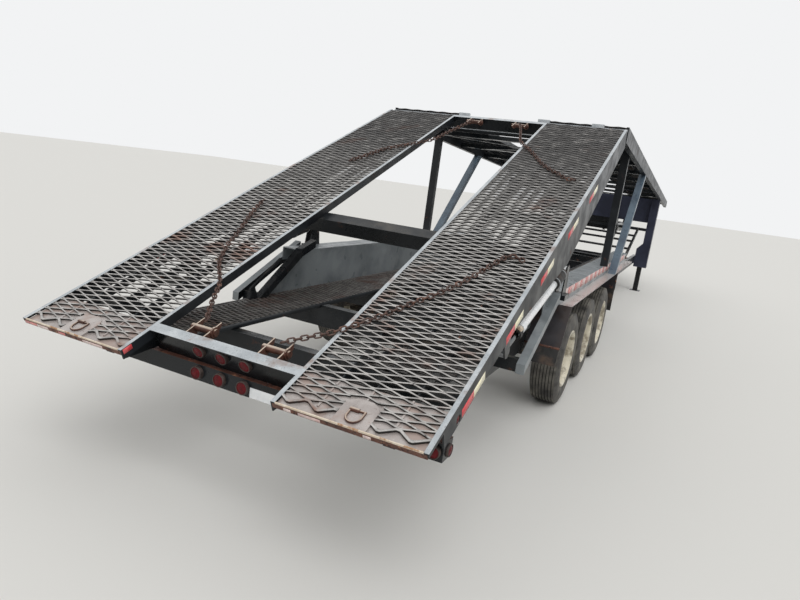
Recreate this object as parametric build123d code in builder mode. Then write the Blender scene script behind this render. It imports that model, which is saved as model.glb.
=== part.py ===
from build123d import *
import os
from math import atan2, cos, degrees, hypot, sin

# Gooseneck car-hauler semi-trailer with a fixed front upper deck on posts and
# a rear upper deck that hinges at the peak and is lowered to the ground end.
# Lengths are in millimetres. +X is the trailer's right side, +Y points to the
# kingpin end, +Z is up and the tyres stand on Z = 0. Y = 0 is half the length.
# A station is a distance forward of the tail.
# Pairs are built by a loop over side, -1 for the left and +1 for the right.

os.makedirs("parts", exist_ok=True)

# Overall sizes
overall_length = 15070
half_width = 1295
runway_inner = 489

# Rear deck, lowered: its top surface runs from the tail up to the peak, a step
# below the front deck's rear edge
tail_height = 820
peak_station = 4240
deck_step = 36
deck_gap = 120
front_deck_height = 2636
peak_height = front_deck_height - deck_step
ramp_angle = atan2(peak_height - tail_height, peak_station)
ramp_length = hypot(peak_station, peak_height - tail_height)

# Front deck: its top surface falls slightly towards the front
front_deck_station = peak_station + deck_gap
front_end_height = 2060
front_run = overall_length - front_deck_station
front_angle = atan2(front_deck_height - front_end_height, front_run)
front_length = hypot(front_run, front_deck_height - front_end_height)

# Lower frame and decks
frame_half_width = 1000
frame_bottom = 620
frame_top = 785
frame_wall = 8
frame_flange = 65
frame_rear_station = 330
frame_front_station = 12650
sheet = 6
mesh_thickness = 8
lower_deck_end = 10350

# Wheels: stations of the three axles, single wheels
axle_stations = (3490, 4543, 5596)
tyre_radius = 433
tyre_width = 262
tyre_clearance = 8
tyre_centre = frame_half_width + tyre_clearance + tyre_width / 2
rim_radius = 252
axle_radius = 63
spindle_radius = 35
running_gap = 1

# Hinge of the rear deck
hinge_station = front_deck_station - 30
hinge_height = front_deck_height - 181
hinge_pin_radius = 20
lug_radius = 45
lug_thickness = 16
lug_gap = 24

# Lift cylinders: the pin on the frame and the pin on the deck, deck lowered
cylinder_x = half_width - 90
frame_pin_station = 2780
frame_pin_height = 1330
deck_pin_station = 1250
deck_pin_height = 970
barrel_radius = 30
barrel_length = 1230
barrel_start = 95
rod_radius = 20
rod_gap = 1
rod_inner_end = 250
eye_radius = 34
eye_width = 36
cylinder_pin_radius = 15
ear_thickness = 10
ear_gap = 4

# Wheel boxes and fenders
box_rear_station = 2300
box_front_station = 8060
box_top = 1135
box_outer = half_width - 105
box_lip_bottom = 1017
box_tail_length = 516
fender_rear_station = 2940
fender_foot = (2735, 690)
flap_tip = (2665, 560)
front_plate_station = 6200
front_flap_top = 790
front_flap_bottom = 500

# Deck posts, braces and risers
post_station = 5500
post_depth = 70
post_inner = box_outer - 50
post_outer = box_outer + 36
brace_inner = box_outer + 15
brace_foot_station = 5850
brace_head_station = 7285
brace_depth = 110
riser_rear_station = 12400
riser_front_station = 12650
riser_inner = frame_half_width
riser_post_inner = riser_inner + 110
riser_outer = half_width - 25
riser_bottom = 540
riser_shoulder = (940, 1070)

# Gooseneck
neck_bottom = 1240
neck_top = 1400
neck_inner = 380
neck_outer = 480
neck_front_station = overall_length - 170
kingpin_station = neck_front_station - 750
kingpin_radius = 25.4

# Deck structure, as depths below the deck surface
stringer_depth = 60
beam_depth = 50
stringer_wall = 8
lip_width = 25
front_rail_depth = 150
front_rail_flange = 60
web_tail_depth = 110
web_deep_station = 2402
web_deep_depth = 348
web_peak_depth = 182
web_taper_start = 1100
rib_xs = (700, 892, 1090)
lip_thickness = 8

# Side marker lamps let into the webs near the tail
marker_station = 315
marker_depth = 80
marker_radius = 25
marker_thickness = 14
marker_gap = 0.2


def at(station):
    """The Y of a station."""
    return station - overall_length / 2


def deck_height(station):
    """Height of the front deck's top surface at a station."""
    fall = (front_deck_height - front_end_height) / front_run
    return front_deck_height - fall * (station - front_deck_station)


ramp = Plane(
    origin=(0, at(0), tail_height),
    x_dir=(1, 0, 0),
    z_dir=(0, -sin(ramp_angle), cos(ramp_angle)),
)
upper = Plane(
    origin=(0, at(front_deck_station), front_deck_height),
    x_dir=(1, 0, 0),
    z_dir=(0, sin(front_angle), cos(front_angle)),
)


def block(x, y, z):
    """Add a box to the part in hand from its two limits along each axis."""
    middle = ((x[0] + x[1]) / 2, (y[0] + y[1]) / 2, (z[0] + z[1]) / 2)
    with Locations(middle):
        Box(abs(x[1] - x[0]), abs(y[1] - y[0]), abs(z[1] - z[0]))


def side_profile(plane, x, points):
    """Extrude an outline given along and up the plane, between two X limits."""
    side_plane = Plane(
        origin=plane.from_local_coords((x[0], 0, 0)), x_dir=plane.y_dir, z_dir=(1, 0, 0)
    )
    with BuildSketch(side_plane) as outline:
        Polygon(*points, align=None)
    extrude(outline.sketch, amount=x[1] - x[0], dir=(1, 0, 0))


ground = Plane(origin=(0, at(0), 0))

# Rear deck: side rails with a deep web, a top lip and a bottom flange
tail_edge_depth = 22
web_start = 150
web_outline = (
    (0, 0),
    (0, -tail_edge_depth),
    (web_start, -tail_edge_depth),
    (web_start, -web_tail_depth),
    (web_taper_start, -web_tail_depth),
    (web_deep_station, -web_deep_depth),
    (ramp_length, -web_peak_depth),
    (ramp_length, 0),
)
flange_outline = (
    (web_taper_start, -web_tail_depth),
    (web_deep_station, -web_deep_depth),
    (ramp_length, -web_peak_depth),
    (ramp_length, -web_peak_depth + frame_wall),
    (web_deep_station, -web_deep_depth + frame_wall),
    (web_taper_start, -web_tail_depth + frame_wall),
)
with BuildPart() as rear_side_rails:
    for side in (-1, 1):
        web = sorted((side * (half_width - frame_wall), side * half_width))
        side_profile(ramp, web, web_outline)
        lip = sorted((side * (half_width - lip_width), side * half_width))
        side_profile(
            ramp,
            lip,
            ((0, 0), (ramp_length, 0), (ramp_length, -lip_thickness), (0, -lip_thickness)),
        )
        flange = sorted((side * (half_width - 50), side * half_width))
        side_profile(ramp, flange, flange_outline)
        face = Plane(
            origin=ramp.from_local_coords((side * half_width, marker_station, -marker_depth)),
            x_dir=(0, 1, 0),
            z_dir=(side, 0, 0),
        )
        with BuildSketch(face):
            Circle(marker_radius + marker_gap)
        extrude(amount=-marker_thickness, mode=Mode.SUBTRACT)
rear_side_rails.part.label = "rear_side_rails"
export_step(rear_side_rails.part, "parts/rear_side_rails.step")

# Rear deck: inner rails and ribs under the mesh
with BuildPart(ramp) as rear_stringers:
    for side in (-1, 1):
        block(
            (side * runway_inner, side * (runway_inner + stringer_wall)),
            (0, ramp_length),
            (-stringer_depth, 0),
        )
        block(
            (side * (runway_inner + stringer_wall), side * (runway_inner + lip_width)),
            (0, ramp_length),
            (-mesh_thickness, 0),
        )
        for rib in rib_xs:
            block(
                (side * rib, side * (rib + stringer_wall)),
                (70, ramp_length),
                (-stringer_depth, -mesh_thickness),
            )
rear_stringers.part.label = "rear_stringers"
export_step(rear_stringers.part, "parts/rear_stringers.step")

# Rear deck: one expanded-metal runway a side. Diamond openings stand in rows
# along the slope, every second row shifted by half an opening, and the ones at
# the edges are cut in half by the border.
tail_plate_length = 60
ring_plate = (810, 990, 170)
opening_columns = 3
opening_pitch = 80
strand_width = 13
border = 6
runway_width = half_width - lip_width - runway_inner - lip_width
opening_across = runway_width / opening_columns
opening_half = (opening_across / 2 - strand_width, opening_pitch / 2 - strand_width / 2)
edge_half = opening_half[1] * (1 - border / opening_half[0])
opening_start = ring_plate[2] + opening_pitch / 2
opening_rows = int((ramp_length - border - opening_pitch / 2 - opening_start) * 2 / opening_pitch)
for side, name in ((-1, "rear_runway_left"), (1, "rear_runway_right")):
    middle_x = side * (runway_inner + half_width) / 2
    centres = []
    edges = {-1: [], 1: []}
    for row in range(opening_rows + 1):
        place = opening_start + row * opening_pitch / 2
        count = opening_columns - row % 2
        for column in range(count):
            centres.append((middle_x + (column - (count - 1) / 2) * opening_across, place))
        if row % 2:
            for edge in (-1, 1):
                edges[edge].append((middle_x + edge * runway_width / 2, place))
    with BuildPart(ramp) as runway:
        with BuildSketch(ramp.offset(-mesh_thickness)):
            with Locations((middle_x, (tail_plate_length + ramp_length) / 2)):
                Rectangle(runway_width, ramp_length - tail_plate_length)
            with Locations((side * (ring_plate[0] + ring_plate[1]) / 2, ring_plate[2] / 2)):
                Rectangle(ring_plate[1] - ring_plate[0], ring_plate[2], mode=Mode.SUBTRACT)
            with Locations(*centres):
                Polygon(
                    (-opening_half[0], 0),
                    (0, -opening_half[1]),
                    (opening_half[0], 0),
                    (0, opening_half[1]),
                    mode=Mode.SUBTRACT,
                )
            for edge, places in edges.items():
                with Locations(*places):
                    Polygon(
                        (-edge * opening_half[0], 0),
                        (-edge * border, -edge_half),
                        (-edge * border, edge_half),
                        align=None,
                        mode=Mode.SUBTRACT,
                    )
        extrude(amount=mesh_thickness)
    runway.part.label = name
    export_step(runway.part, f"parts/{name}.step")

# Rear deck: end plates with the lashing-ring plates, and the turned-down lip
tail_lip_depth = 35
ring_radius = 42
ring_bar = 12
ring_lift = 6
ring_station = 80
with BuildPart(ramp) as tail_plates:
    for side in (-1, 1):
        inner = side * (runway_inner + lip_width)
        outer = side * (half_width - lip_width)
        block((inner, outer), (0, tail_plate_length), (-mesh_thickness, 0))
        block(
            (side * ring_plate[0], side * ring_plate[1]),
            (tail_plate_length, ring_plate[2]),
            (-mesh_thickness, 0),
        )
        block(
            (side * (runway_inner + stringer_wall), side * (half_width - frame_wall)),
            (0, lip_thickness),
            (-tail_lip_depth, -mesh_thickness),
        )
        middle = side * (ring_plate[0] + ring_plate[1]) / 2
        with BuildSketch(ramp.offset(ring_lift)):
            with Locations((middle, ring_station)):
                Circle(ring_radius)
                Circle(ring_radius - ring_bar, mode=Mode.SUBTRACT)
        extrude(amount=ring_bar)
        block(
            (middle - 20, middle + 20),
            (ring_station + ring_radius - 24, ring_station + ring_radius + 8),
            (0, ring_lift + ring_bar + 6),
        )
tail_plates.part.label = "tail_plates"
export_step(tail_plates.part, "parts/tail_plates.step")

# Rear deck: cross beams under each runway and one across the middle gap
beam_stations = (420, 780, 1211, 2500, 3150, 3800, 4560)
beam_inner = 600
middle_beam_station = 1950
with BuildPart(ramp) as rear_cross_beams:
    for station in beam_stations:
        for side in (-1, 1):
            block(
                (side * beam_inner, side * (half_width - frame_wall)),
                (station - 30, station + 30),
                (-stringer_depth - beam_depth, -stringer_depth),
            )
    block(
        (frame_wall - half_width, half_width - frame_wall),
        (middle_beam_station - 60, middle_beam_station + 60),
        (-stringer_depth - 110, -stringer_depth),
    )
rear_cross_beams.part.label = "rear_cross_beams"
export_step(rear_cross_beams.part, "parts/rear_cross_beams.step")

# Tail bumper: its top carries the lowered deck's tail channel
bumper_station = 222
bumper_bottom = 687
bumper_top = 778
rest_gap = 0.5

# Rear deck: the tail channel, with gussets out to the tail, rests on the bumper
# by its web. The peak channel closes the other end.
channel_wall = 8
tail_flange = (203, 273)
tail_web_station = 225
tail_web_depth = (
    tail_height + tail_web_station * sin(ramp_angle) - bumper_top - rest_gap
) / cos(ramp_angle)
gusset_depth = tail_web_depth - 15
peak_channel_length = 60
peak_channel_depth = 115
peak_web_station = ramp_length - peak_channel_length
with BuildPart(ramp) as deck_channels:
    block((-runway_inner, runway_inner), tail_flange, (-channel_wall, 0))
    block(
        (-runway_inner, runway_inner),
        (tail_web_station, tail_web_station + channel_wall),
        (-tail_web_depth, -channel_wall),
    )
    for side in (-1, 1):
        side_profile(
            ramp,
            sorted((side * runway_inner, side * (runway_inner + channel_wall))),
            (
                (lip_thickness, -stringer_depth),
                (tail_flange[1], -stringer_depth),
                (tail_flange[1], -gusset_depth),
                (tail_web_station, -gusset_depth),
            ),
        )
    for depths in ((-channel_wall, 0), (-peak_channel_depth, channel_wall - peak_channel_depth)):
        block((-runway_inner, runway_inner), (peak_web_station, ramp_length), depths)
    block(
        (-runway_inner, runway_inner),
        (peak_web_station, peak_web_station + channel_wall),
        (-peak_channel_depth, 0),
    )
deck_channels.part.label = "deck_channels"
export_step(deck_channels.part, "parts/deck_channels.step")

# Chain ratchets: two side plates with a drum and a toothed wheel between and
# beside them, four times. The tail pair points forward and the peak pair aft.
ratchet_xs = (-225, 266)
ratchet_half_width = 66
ratchet_length = 144
ratchet_plate = 8
ratchet_depth = 55
drum_radius = 20
drum_drop = 18
wheel_radius = 32
ratchet_ends = ((tail_flange[1], 1), (peak_web_station, -1))
with BuildPart(ramp) as chain_ratchets:
    for x in ratchet_xs:
        for end, way in ratchet_ends:
            root = end if way < 0 else tail_web_station + channel_wall
            for side in (-1, 1):
                inner = x + side * (ratchet_half_width - ratchet_plate)
                side_profile(
                    ramp,
                    sorted((inner, x + side * ratchet_half_width)),
                    (
                        (root, -channel_wall),
                        (end, -channel_wall),
                        (end, 0),
                        (end + way * ratchet_length, 0),
                        (end + way * (ratchet_length - 17), -25),
                        (end + way * 60, -ratchet_depth),
                        (root, -ratchet_depth),
                    )
                    if way > 0
                    else (
                        (end, 0),
                        (end - ratchet_length, 0),
                        (end - ratchet_length + 17, -25),
                        (end - 60, -ratchet_depth),
                        (end, -ratchet_depth),
                    ),
                )
            drum = Plane(
                origin=ramp.from_local_coords((x, end + way * ratchet_length / 2, -drum_drop)),
                x_dir=(0, 1, 0),
                z_dir=(1, 0, 0),
            )
            reach = ratchet_half_width + 20
            with BuildSketch(drum.offset(-reach)):
                Circle(drum_radius)
            extrude(amount=2 * reach)
            with BuildSketch(drum.offset(ratchet_half_width)):
                RegularPolygon(wheel_radius, 12)
            extrude(amount=10)
chain_ratchets.part.label = "chain_ratchets"
export_step(chain_ratchets.part, "parts/chain_ratchets.step")

# Tie-down chains lying on the rear deck from the ratchets, as X and distance
# up the deck. Flat and upright links take turns along each run.
link_length = 66
link_wire = 11
link_width = 36
chain_gap = 0.3
tail_drum = tail_flange[1] + ratchet_length / 2 + drum_radius + chain_gap
peak_drum = peak_web_station - ratchet_length / 2 - drum_radius - chain_gap
chain_routes = (
    ((-225, tail_drum), (-440, 720), (-623, 921), (-755, 1176), (-885, 1511), (-1012, 1907)),
    ((266, tail_drum), (471, 543), (722, 940), (844, 1133), (1071, 1730), (1187, 1671)),
    ((-225, peak_drum), (-350, 3701), (-487, 3530), (-684, 3281), (-842, 2870)),
    ((266, peak_drum), (463, 3873), (835, 3345), (1085, 3086), (1168, 3115)),
)
flat_links = []
upright_links = []
for route in chain_routes:
    for (x0, y0), (x1, y1) in zip(route, route[1:]):
        turn = (0, 0, degrees(atan2(y1 - y0, x1 - x0)))
        count = 2 * round(hypot(x1 - x0, y1 - y0) / link_length / 2) + 1
        for link in range(count):
            share = (link + 0.5) / count
            place = (x0 + share * (x1 - x0), y0 + share * (y1 - y0), chain_gap + link_width / 2)
            (upright_links if link % 2 else flat_links).append(Location(place, turn))
with BuildPart(ramp) as tie_chains:
    with Locations(*flat_links):
        Box(link_length * 1.3, link_width, link_wire)
    with Locations(*upright_links):
        Box(link_length * 1.1, link_wire, link_width)
tie_chains.part.label = "tie_chains"
export_step(tie_chains.part, "parts/tie_chains.step")

# Rear deck: hinge lugs at the peak and clevises for the lift cylinders
ramp_hinge = ramp.to_local_coords(Vector(0, at(hinge_station), hinge_height))
ramp_pin = ramp.to_local_coords(Vector(0, at(deck_pin_station), deck_pin_height))
lug_places = (560, 1150)
with BuildPart() as deck_brackets:
    for side in (-1, 1):
        for place in lug_places:
            lug = sorted((side * place, side * (place + lug_thickness)))
            side_profile(
                ramp,
                lug,
                (
                    (ramp_hinge.Y - 110, -stringer_depth - beam_depth),
                    (ramp_hinge.Y - 35, -stringer_depth - beam_depth),
                    (ramp_hinge.Y + 20, ramp_hinge.Z + 38),
                    (ramp_hinge.Y - 20, ramp_hinge.Z - 40),
                ),
            )
            centre = Plane(
                origin=(lug[0], at(hinge_station), hinge_height),
                x_dir=(0, 1, 0),
                z_dir=(1, 0, 0),
            )
            with BuildSketch(centre):
                Circle(lug_radius)
            extrude(amount=lug_thickness)
            with BuildSketch(centre):
                Circle(hinge_pin_radius + running_gap)
            extrude(amount=lug_thickness, mode=Mode.SUBTRACT)
        for ear_side in (-1, 1):
            near = side * cylinder_x + ear_side * (eye_width / 2 + ear_gap)
            ear = sorted((near, near + ear_side * ear_thickness))
            side_profile(
                ramp,
                ear,
                (
                    (ramp_pin.Y - 90, -stringer_depth - beam_depth),
                    (ramp_pin.Y + 90, -stringer_depth - beam_depth),
                    (ramp_pin.Y + 40, ramp_pin.Z - 20),
                    (ramp_pin.Y, ramp_pin.Z - 40),
                    (ramp_pin.Y - 40, ramp_pin.Z - 20),
                ),
            )
deck_brackets.part.label = "deck_brackets"
export_step(deck_brackets.part, "parts/deck_brackets.step")

# Round lamps on the rear deck: three on the tail channel and a side marker
lamp_radius = 38
lamp_thickness = 22
lamp_step = 14
lamp_drop = 55
lamp_xs = (-157, 0, 157)
with BuildPart() as rear_deck_lamps:
    for x in lamp_xs:
        face = Plane(
            origin=ramp.from_local_coords((x, tail_web_station, -lamp_drop)),
            x_dir=(1, 0, 0),
            z_dir=-ramp.y_dir,
        )
        with BuildSketch(face):
            Circle(lamp_radius)
        extrude(amount=lamp_thickness)
    for side in (-1, 1):
        face = Plane(
            origin=ramp.from_local_coords((side * half_width, marker_station, -marker_depth)),
            x_dir=(0, 1, 0),
            z_dir=(side, 0, 0),
        )
        with BuildSketch(face):
            Circle(marker_radius)
        extrude(amount=-marker_thickness)
rear_deck_lamps.part.label = "rear_deck_lamps"
export_step(rear_deck_lamps.part, "parts/rear_deck_lamps.step")

# Frame: two main rails of open channel
with BuildPart() as main_rails:
    for side in (-1, 1):
        stations = (at(frame_rear_station), at(frame_front_station))
        outer = side * frame_half_width
        web_inner = side * (frame_half_width - frame_wall)
        tip = side * (frame_half_width - frame_flange)
        block((outer, web_inner), stations, (frame_bottom, frame_top))
        block((outer, tip), stations, (frame_top - frame_wall, frame_top))
        block((outer, tip), stations, (frame_bottom, frame_bottom + frame_wall))
main_rails.part.label = "main_rails"
export_step(main_rails.part, "parts/main_rails.step")

# Frame: cross members between the rails' webs
cross_member_stations = (900, 2900, 3960, 5010, 6400, 7700, 9000, 10300, 11600)
member_width = 80
flat_member_station = 1940
flat_member_half = runway_inner - 9
flat_member_top = 800
member_bottom = frame_bottom + frame_wall + 1
member_top = frame_top - frame_wall - 1
member_end = frame_half_width - frame_wall
with BuildPart() as lower_cross_members:
    for station in cross_member_stations:
        block(
            (-member_end, member_end),
            (at(station - member_width / 2), at(station + member_width / 2)),
            (member_bottom, member_top),
        )
    for half, top in ((member_end, member_top), (flat_member_half, flat_member_top)):
        block(
            (-half, half),
            (
                at(flat_member_station - member_width / 2),
                at(flat_member_station + member_width / 2),
            ),
            (member_bottom, top),
        )
lower_cross_members.part.label = "lower_cross_members"
export_step(lower_cross_members.part, "parts/lower_cross_members.step")

# Lower deck: a runway a side with a kerb along its inner edge
kerb_top = 812
lower_runway_outer = frame_half_width - 12
with BuildPart() as lower_runways:
    for side in (-1, 1):
        stations = (at(frame_rear_station + 20), at(lower_deck_end))
        block(
            (side * runway_inner, side * lower_runway_outer),
            stations,
            (frame_top, frame_top + sheet),
        )
        block(
            (side * runway_inner, side * (runway_inner + 8)),
            stations,
            (member_top + 0.5, kerb_top),
        )
lower_runways.part.label = "lower_runways"
export_step(lower_runways.part, "parts/lower_runways.step")

# Lower deck: open ladder that climbs to the gooseneck
ladder_head_station = riser_rear_station + 60
ladder_head_height = neck_top
ladder_rise = ladder_head_height - frame_top
ladder_run = ladder_head_station - lower_deck_end
ladder_angle = atan2(ladder_rise, ladder_run)
ladder_length = hypot(ladder_rise, ladder_run)
ladder_plane = Plane(
    origin=(0, at(lower_deck_end), frame_top),
    x_dir=(1, 0, 0),
    z_dir=(0, -sin(ladder_angle), cos(ladder_angle)),
)
ladder_depth = 70
ladder_stringers = ((500, 540), (frame_half_width - 80, frame_half_width - 40))
ladder_foot = ladder_depth / sin(ladder_angle)
rung_stations = (110, 780, 1265, 1630)
rung_width = 60
rung_depths = (-30, -4)
with BuildPart(ladder_plane) as front_ladder:
    for side in (-1, 1):
        for inner, outer in ladder_stringers:
            stringer = sorted((side * inner, side * outer))
            side_profile(
                ground,
                stringer,
                (
                    (lower_deck_end, frame_top),
                    (lower_deck_end + ladder_foot, frame_top),
                    (ladder_head_station, neck_top - ladder_depth / cos(ladder_angle)),
                    (ladder_head_station, neck_top),
                ),
            )
    for station in rung_stations:
        block(
            (-ladder_stringers[1][0], ladder_stringers[1][0]),
            (station, station + rung_width),
            rung_depths,
        )
front_ladder.part.label = "front_ladder"
export_step(front_ladder.part, "parts/front_ladder.step")

# Wheel boxes: inner wall with a sloping tail, top plate and outer lip above
# each row of wheels
with BuildPart() as wheel_boxes:
    for side in (-1, 1):
        stations = (at(box_rear_station), at(box_front_station))
        wall = (side * (frame_half_width - sheet), side * frame_half_width)
        side_profile(
            ground,
            sorted(wall),
            (
                (box_rear_station - box_tail_length, frame_top),
                (box_front_station, frame_top),
                (box_front_station, box_top),
                (box_rear_station, box_top),
            ),
        )
        block((wall[0], side * box_outer), stations, (box_top - sheet, box_top))
        block(
            (side * (box_outer - sheet), side * box_outer),
            stations,
            (box_lip_bottom, box_top),
        )
wheel_boxes.part.label = "wheel_boxes"
export_step(wheel_boxes.part, "parts/wheel_boxes.step")

# Guard tubes that slope down inside the tails of the wheel boxes, each with a
# flat bar and its foot behind it
guard_inner = lower_runway_outer - 60
guard_floor = frame_top + sheet
guard_tube = ((1690, guard_floor), (1790, guard_floor), (2240, 1095), (2429, 1165))
guard_tube_top = ((2429, 1230), (2215, 1160))
guard_bar = ((1594, 850), (1960, 1071), (1960, 1096), (1594, 875))
guard_foot = ((1590, guard_floor), (1690, guard_floor), (1640, 900))
with BuildPart() as box_guards:
    for side in (-1, 1):
        tube = sorted((side * guard_inner, side * lower_runway_outer))
        side_profile(ground, tube, guard_tube + guard_tube_top)
        bar = sorted((side * (guard_inner + 20), side * (guard_inner + 40)))
        side_profile(ground, bar, guard_bar)
        side_profile(ground, bar, guard_foot)
box_guards.part.label = "box_guards"
export_step(box_guards.part, "parts/box_guards.step")

# Fenders: side shelf, sloping rear plate and front plate
with BuildPart() as fenders:
    for side in (-1, 1):
        shelf = sorted((side * box_outer, side * half_width))
        side_profile(
            ground,
            shelf,
            (
                (fender_rear_station, box_lip_bottom),
                (box_front_station, box_lip_bottom),
                (box_front_station, box_lip_bottom - sheet),
                (fender_rear_station, box_lip_bottom - sheet),
            ),
        )
        plate = sorted((side * (frame_half_width + tyre_clearance), side * half_width))
        side_profile(
            ground,
            plate,
            (
                (fender_rear_station, box_lip_bottom),
                (fender_rear_station + 8, box_lip_bottom - sheet),
                (fender_foot[0] + 8, fender_foot[1]),
                fender_foot,
            ),
        )
        side_profile(
            ground,
            plate,
            (
                (front_plate_station, box_lip_bottom - sheet),
                (front_plate_station + sheet, box_lip_bottom - sheet),
                (front_plate_station + sheet, front_flap_top - 10),
                (front_plate_station, front_flap_top - 10),
            ),
        )
        edge = sorted((side * (half_width - sheet), side * half_width))
        side_profile(
            ground,
            edge,
            (
                (front_plate_station, box_lip_bottom - 30),
                (box_front_station, box_lip_bottom - 30),
                (box_front_station, box_lip_bottom),
                (front_plate_station, box_lip_bottom),
            ),
        )
fenders.part.label = "fenders"
export_step(fenders.part, "parts/fenders.step")

# Rubber flaps below both fender plates
with BuildPart() as mud_flaps:
    for side in (-1, 1):
        flap = sorted((side * (frame_half_width + 12), side * (half_width - 4)))
        side_profile(
            ground,
            flap,
            (
                fender_foot,
                (fender_foot[0] + 10, fender_foot[1]),
                flap_tip,
                (flap_tip[0] - 10, flap_tip[1]),
            ),
        )
        side_profile(
            ground,
            flap,
            (
                (front_plate_station - 4, front_flap_top),
                (front_plate_station, front_flap_top),
                (front_plate_station, front_flap_bottom),
                (front_plate_station - 4, front_flap_bottom),
            ),
        )
mud_flaps.part.label = "mud_flaps"
export_step(mud_flaps.part, "parts/mud_flaps.step")

# Tail bumper channel under the lowered deck, closed by a plate at each end
bumper_end = half_width - lamp_step
with BuildPart() as tail_bumper:
    block(
        (-bumper_end, bumper_end),
        (at(bumper_station), at(bumper_station + channel_wall)),
        (bumper_bottom, bumper_top),
    )
    for low, high in (
        (bumper_bottom, bumper_bottom + channel_wall),
        (bumper_top - channel_wall, bumper_top),
    ):
        block(
            (-bumper_end, bumper_end),
            (at(bumper_station), at(frame_rear_station)),
            (low, high),
        )
    for side in (-1, 1):
        block(
            (side * (bumper_end - channel_wall), side * bumper_end),
            (at(bumper_station), at(frame_rear_station)),
            (bumper_bottom, bumper_top),
        )
tail_bumper.part.label = "tail_bumper"
export_step(tail_bumper.part, "parts/tail_bumper.step")

# Step rails beside the frame, from the wheel box down towards the tail
step_head = (2570, 1100)
step_foot = (1745, 707)
step_depth = 70
step_arm_stations = (1800, 1860)
step_arm_heights = (700, 790)
with BuildPart() as step_rails:
    for side in (-1, 1):
        rail = sorted((side * box_outer, side * (box_outer + 60)))
        side_profile(
            ground,
            rail,
            (
                (step_head[0], step_head[1] + step_depth),
                step_head,
                step_foot,
                (step_foot[0], step_foot[1] + step_depth),
            ),
        )
        block(
            (side * frame_half_width, side * box_outer),
            (at(step_arm_stations[0]), at(step_arm_stations[1])),
            step_arm_heights,
        )
step_rails.part.label = "step_rails"
export_step(step_rails.part, "parts/step_rails.step")

# Mounts for the lift cylinders on top of the wheel boxes
with BuildPart() as cylinder_mounts:
    for side in (-1, 1):
        block(
            (side * box_outer, side * (half_width - 30)),
            (at(frame_pin_station - 90), at(frame_pin_station + 90)),
            (box_top - 40, box_top),
        )
        for ear_side in (-1, 1):
            near = side * cylinder_x + ear_side * (eye_width / 2 + ear_gap)
            ear = sorted((near, near + ear_side * ear_thickness))
            side_profile(
                ground,
                ear,
                (
                    (frame_pin_station - 80, box_top),
                    (frame_pin_station + 80, box_top),
                    (frame_pin_station + 40, frame_pin_height + 30),
                    (frame_pin_station, frame_pin_height + 44),
                    (frame_pin_station - 40, frame_pin_height + 30),
                ),
            )
        outer = cylinder_x + eye_width / 2 + ear_gap + ear_thickness
        inner = cylinder_x - eye_width / 2 - ear_gap - ear_thickness
        pin = Plane(
            origin=(min(side * inner, side * outer), at(frame_pin_station), frame_pin_height),
            x_dir=(0, 1, 0),
            z_dir=(1, 0, 0),
        )
        with BuildSketch(pin):
            Circle(cylinder_pin_radius)
        extrude(amount=outer - inner)
cylinder_mounts.part.label = "cylinder_mounts"
export_step(cylinder_mounts.part, "parts/cylinder_mounts.step")

# Lift cylinders: each barrel and each rod is a piece of its own
cylinder_run = hypot(
    deck_pin_station - frame_pin_station, deck_pin_height - frame_pin_height
)
for side, end in ((-1, "left"), (1, "right")):
    axis = Vector(
        0, deck_pin_station - frame_pin_station, deck_pin_height - frame_pin_height
    ).normalized()
    pivot = Vector(side * cylinder_x, at(frame_pin_station), frame_pin_height)
    along = Plane(origin=pivot, x_dir=(1, 0, 0), z_dir=axis)
    with BuildPart() as lift_barrel:
        with BuildSketch(along.offset(barrel_start)):
            Circle(barrel_radius)
        extrude(amount=barrel_length - barrel_start)
        with BuildSketch(along.offset(barrel_length - 60)):
            Circle(barrel_radius + 5)
        extrude(amount=60)
        with BuildSketch(along.offset(120)):
            Circle(rod_radius + rod_gap)
        extrude(amount=barrel_length, mode=Mode.SUBTRACT)
        with BuildSketch(along):
            Rectangle(eye_width, 2 * eye_radius - 12)
        extrude(amount=barrel_start + 5)
        eye = Plane(
            origin=pivot - Vector(eye_width / 2, 0, 0), x_dir=(0, 1, 0), z_dir=(1, 0, 0)
        )
        with BuildSketch(eye):
            Circle(eye_radius)
        extrude(amount=eye_width)
        with BuildSketch(eye):
            Circle(cylinder_pin_radius + running_gap)
        extrude(amount=eye_width, mode=Mode.SUBTRACT)
    lift_barrel.part.label = f"lift_barrel_{end}"
    export_step(lift_barrel.part, f"parts/lift_barrel_{end}.step")
    with BuildPart() as lift_rod:
        with BuildSketch(along.offset(rod_inner_end)):
            Circle(rod_radius)
        extrude(amount=cylinder_run - rod_inner_end - eye_radius + 4)
        tip = Plane(
            origin=pivot + axis * cylinder_run - Vector(eye_width / 2, 0, 0),
            x_dir=(0, 1, 0),
            z_dir=(1, 0, 0),
        )
        with BuildSketch(tip):
            Circle(eye_radius)
        extrude(amount=eye_width)
    lift_rod.part.label = f"lift_rod_{end}"
    export_step(lift_rod.part, f"parts/lift_rod_{end}.step")

# Axles with their spindles
with BuildPart() as axles:
    for station in axle_stations:
        centre = Plane(
            origin=(0, at(station), tyre_radius), x_dir=(0, 1, 0), z_dir=(1, 0, 0)
        )
        with BuildSketch(centre):
            Circle(axle_radius)
        extrude(amount=frame_half_width, both=True)
        with BuildSketch(centre):
            Circle(spindle_radius)
        extrude(amount=tyre_centre + 21, both=True)
axles.part.label = "axles"
export_step(axles.part, "parts/axles.step")

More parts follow.
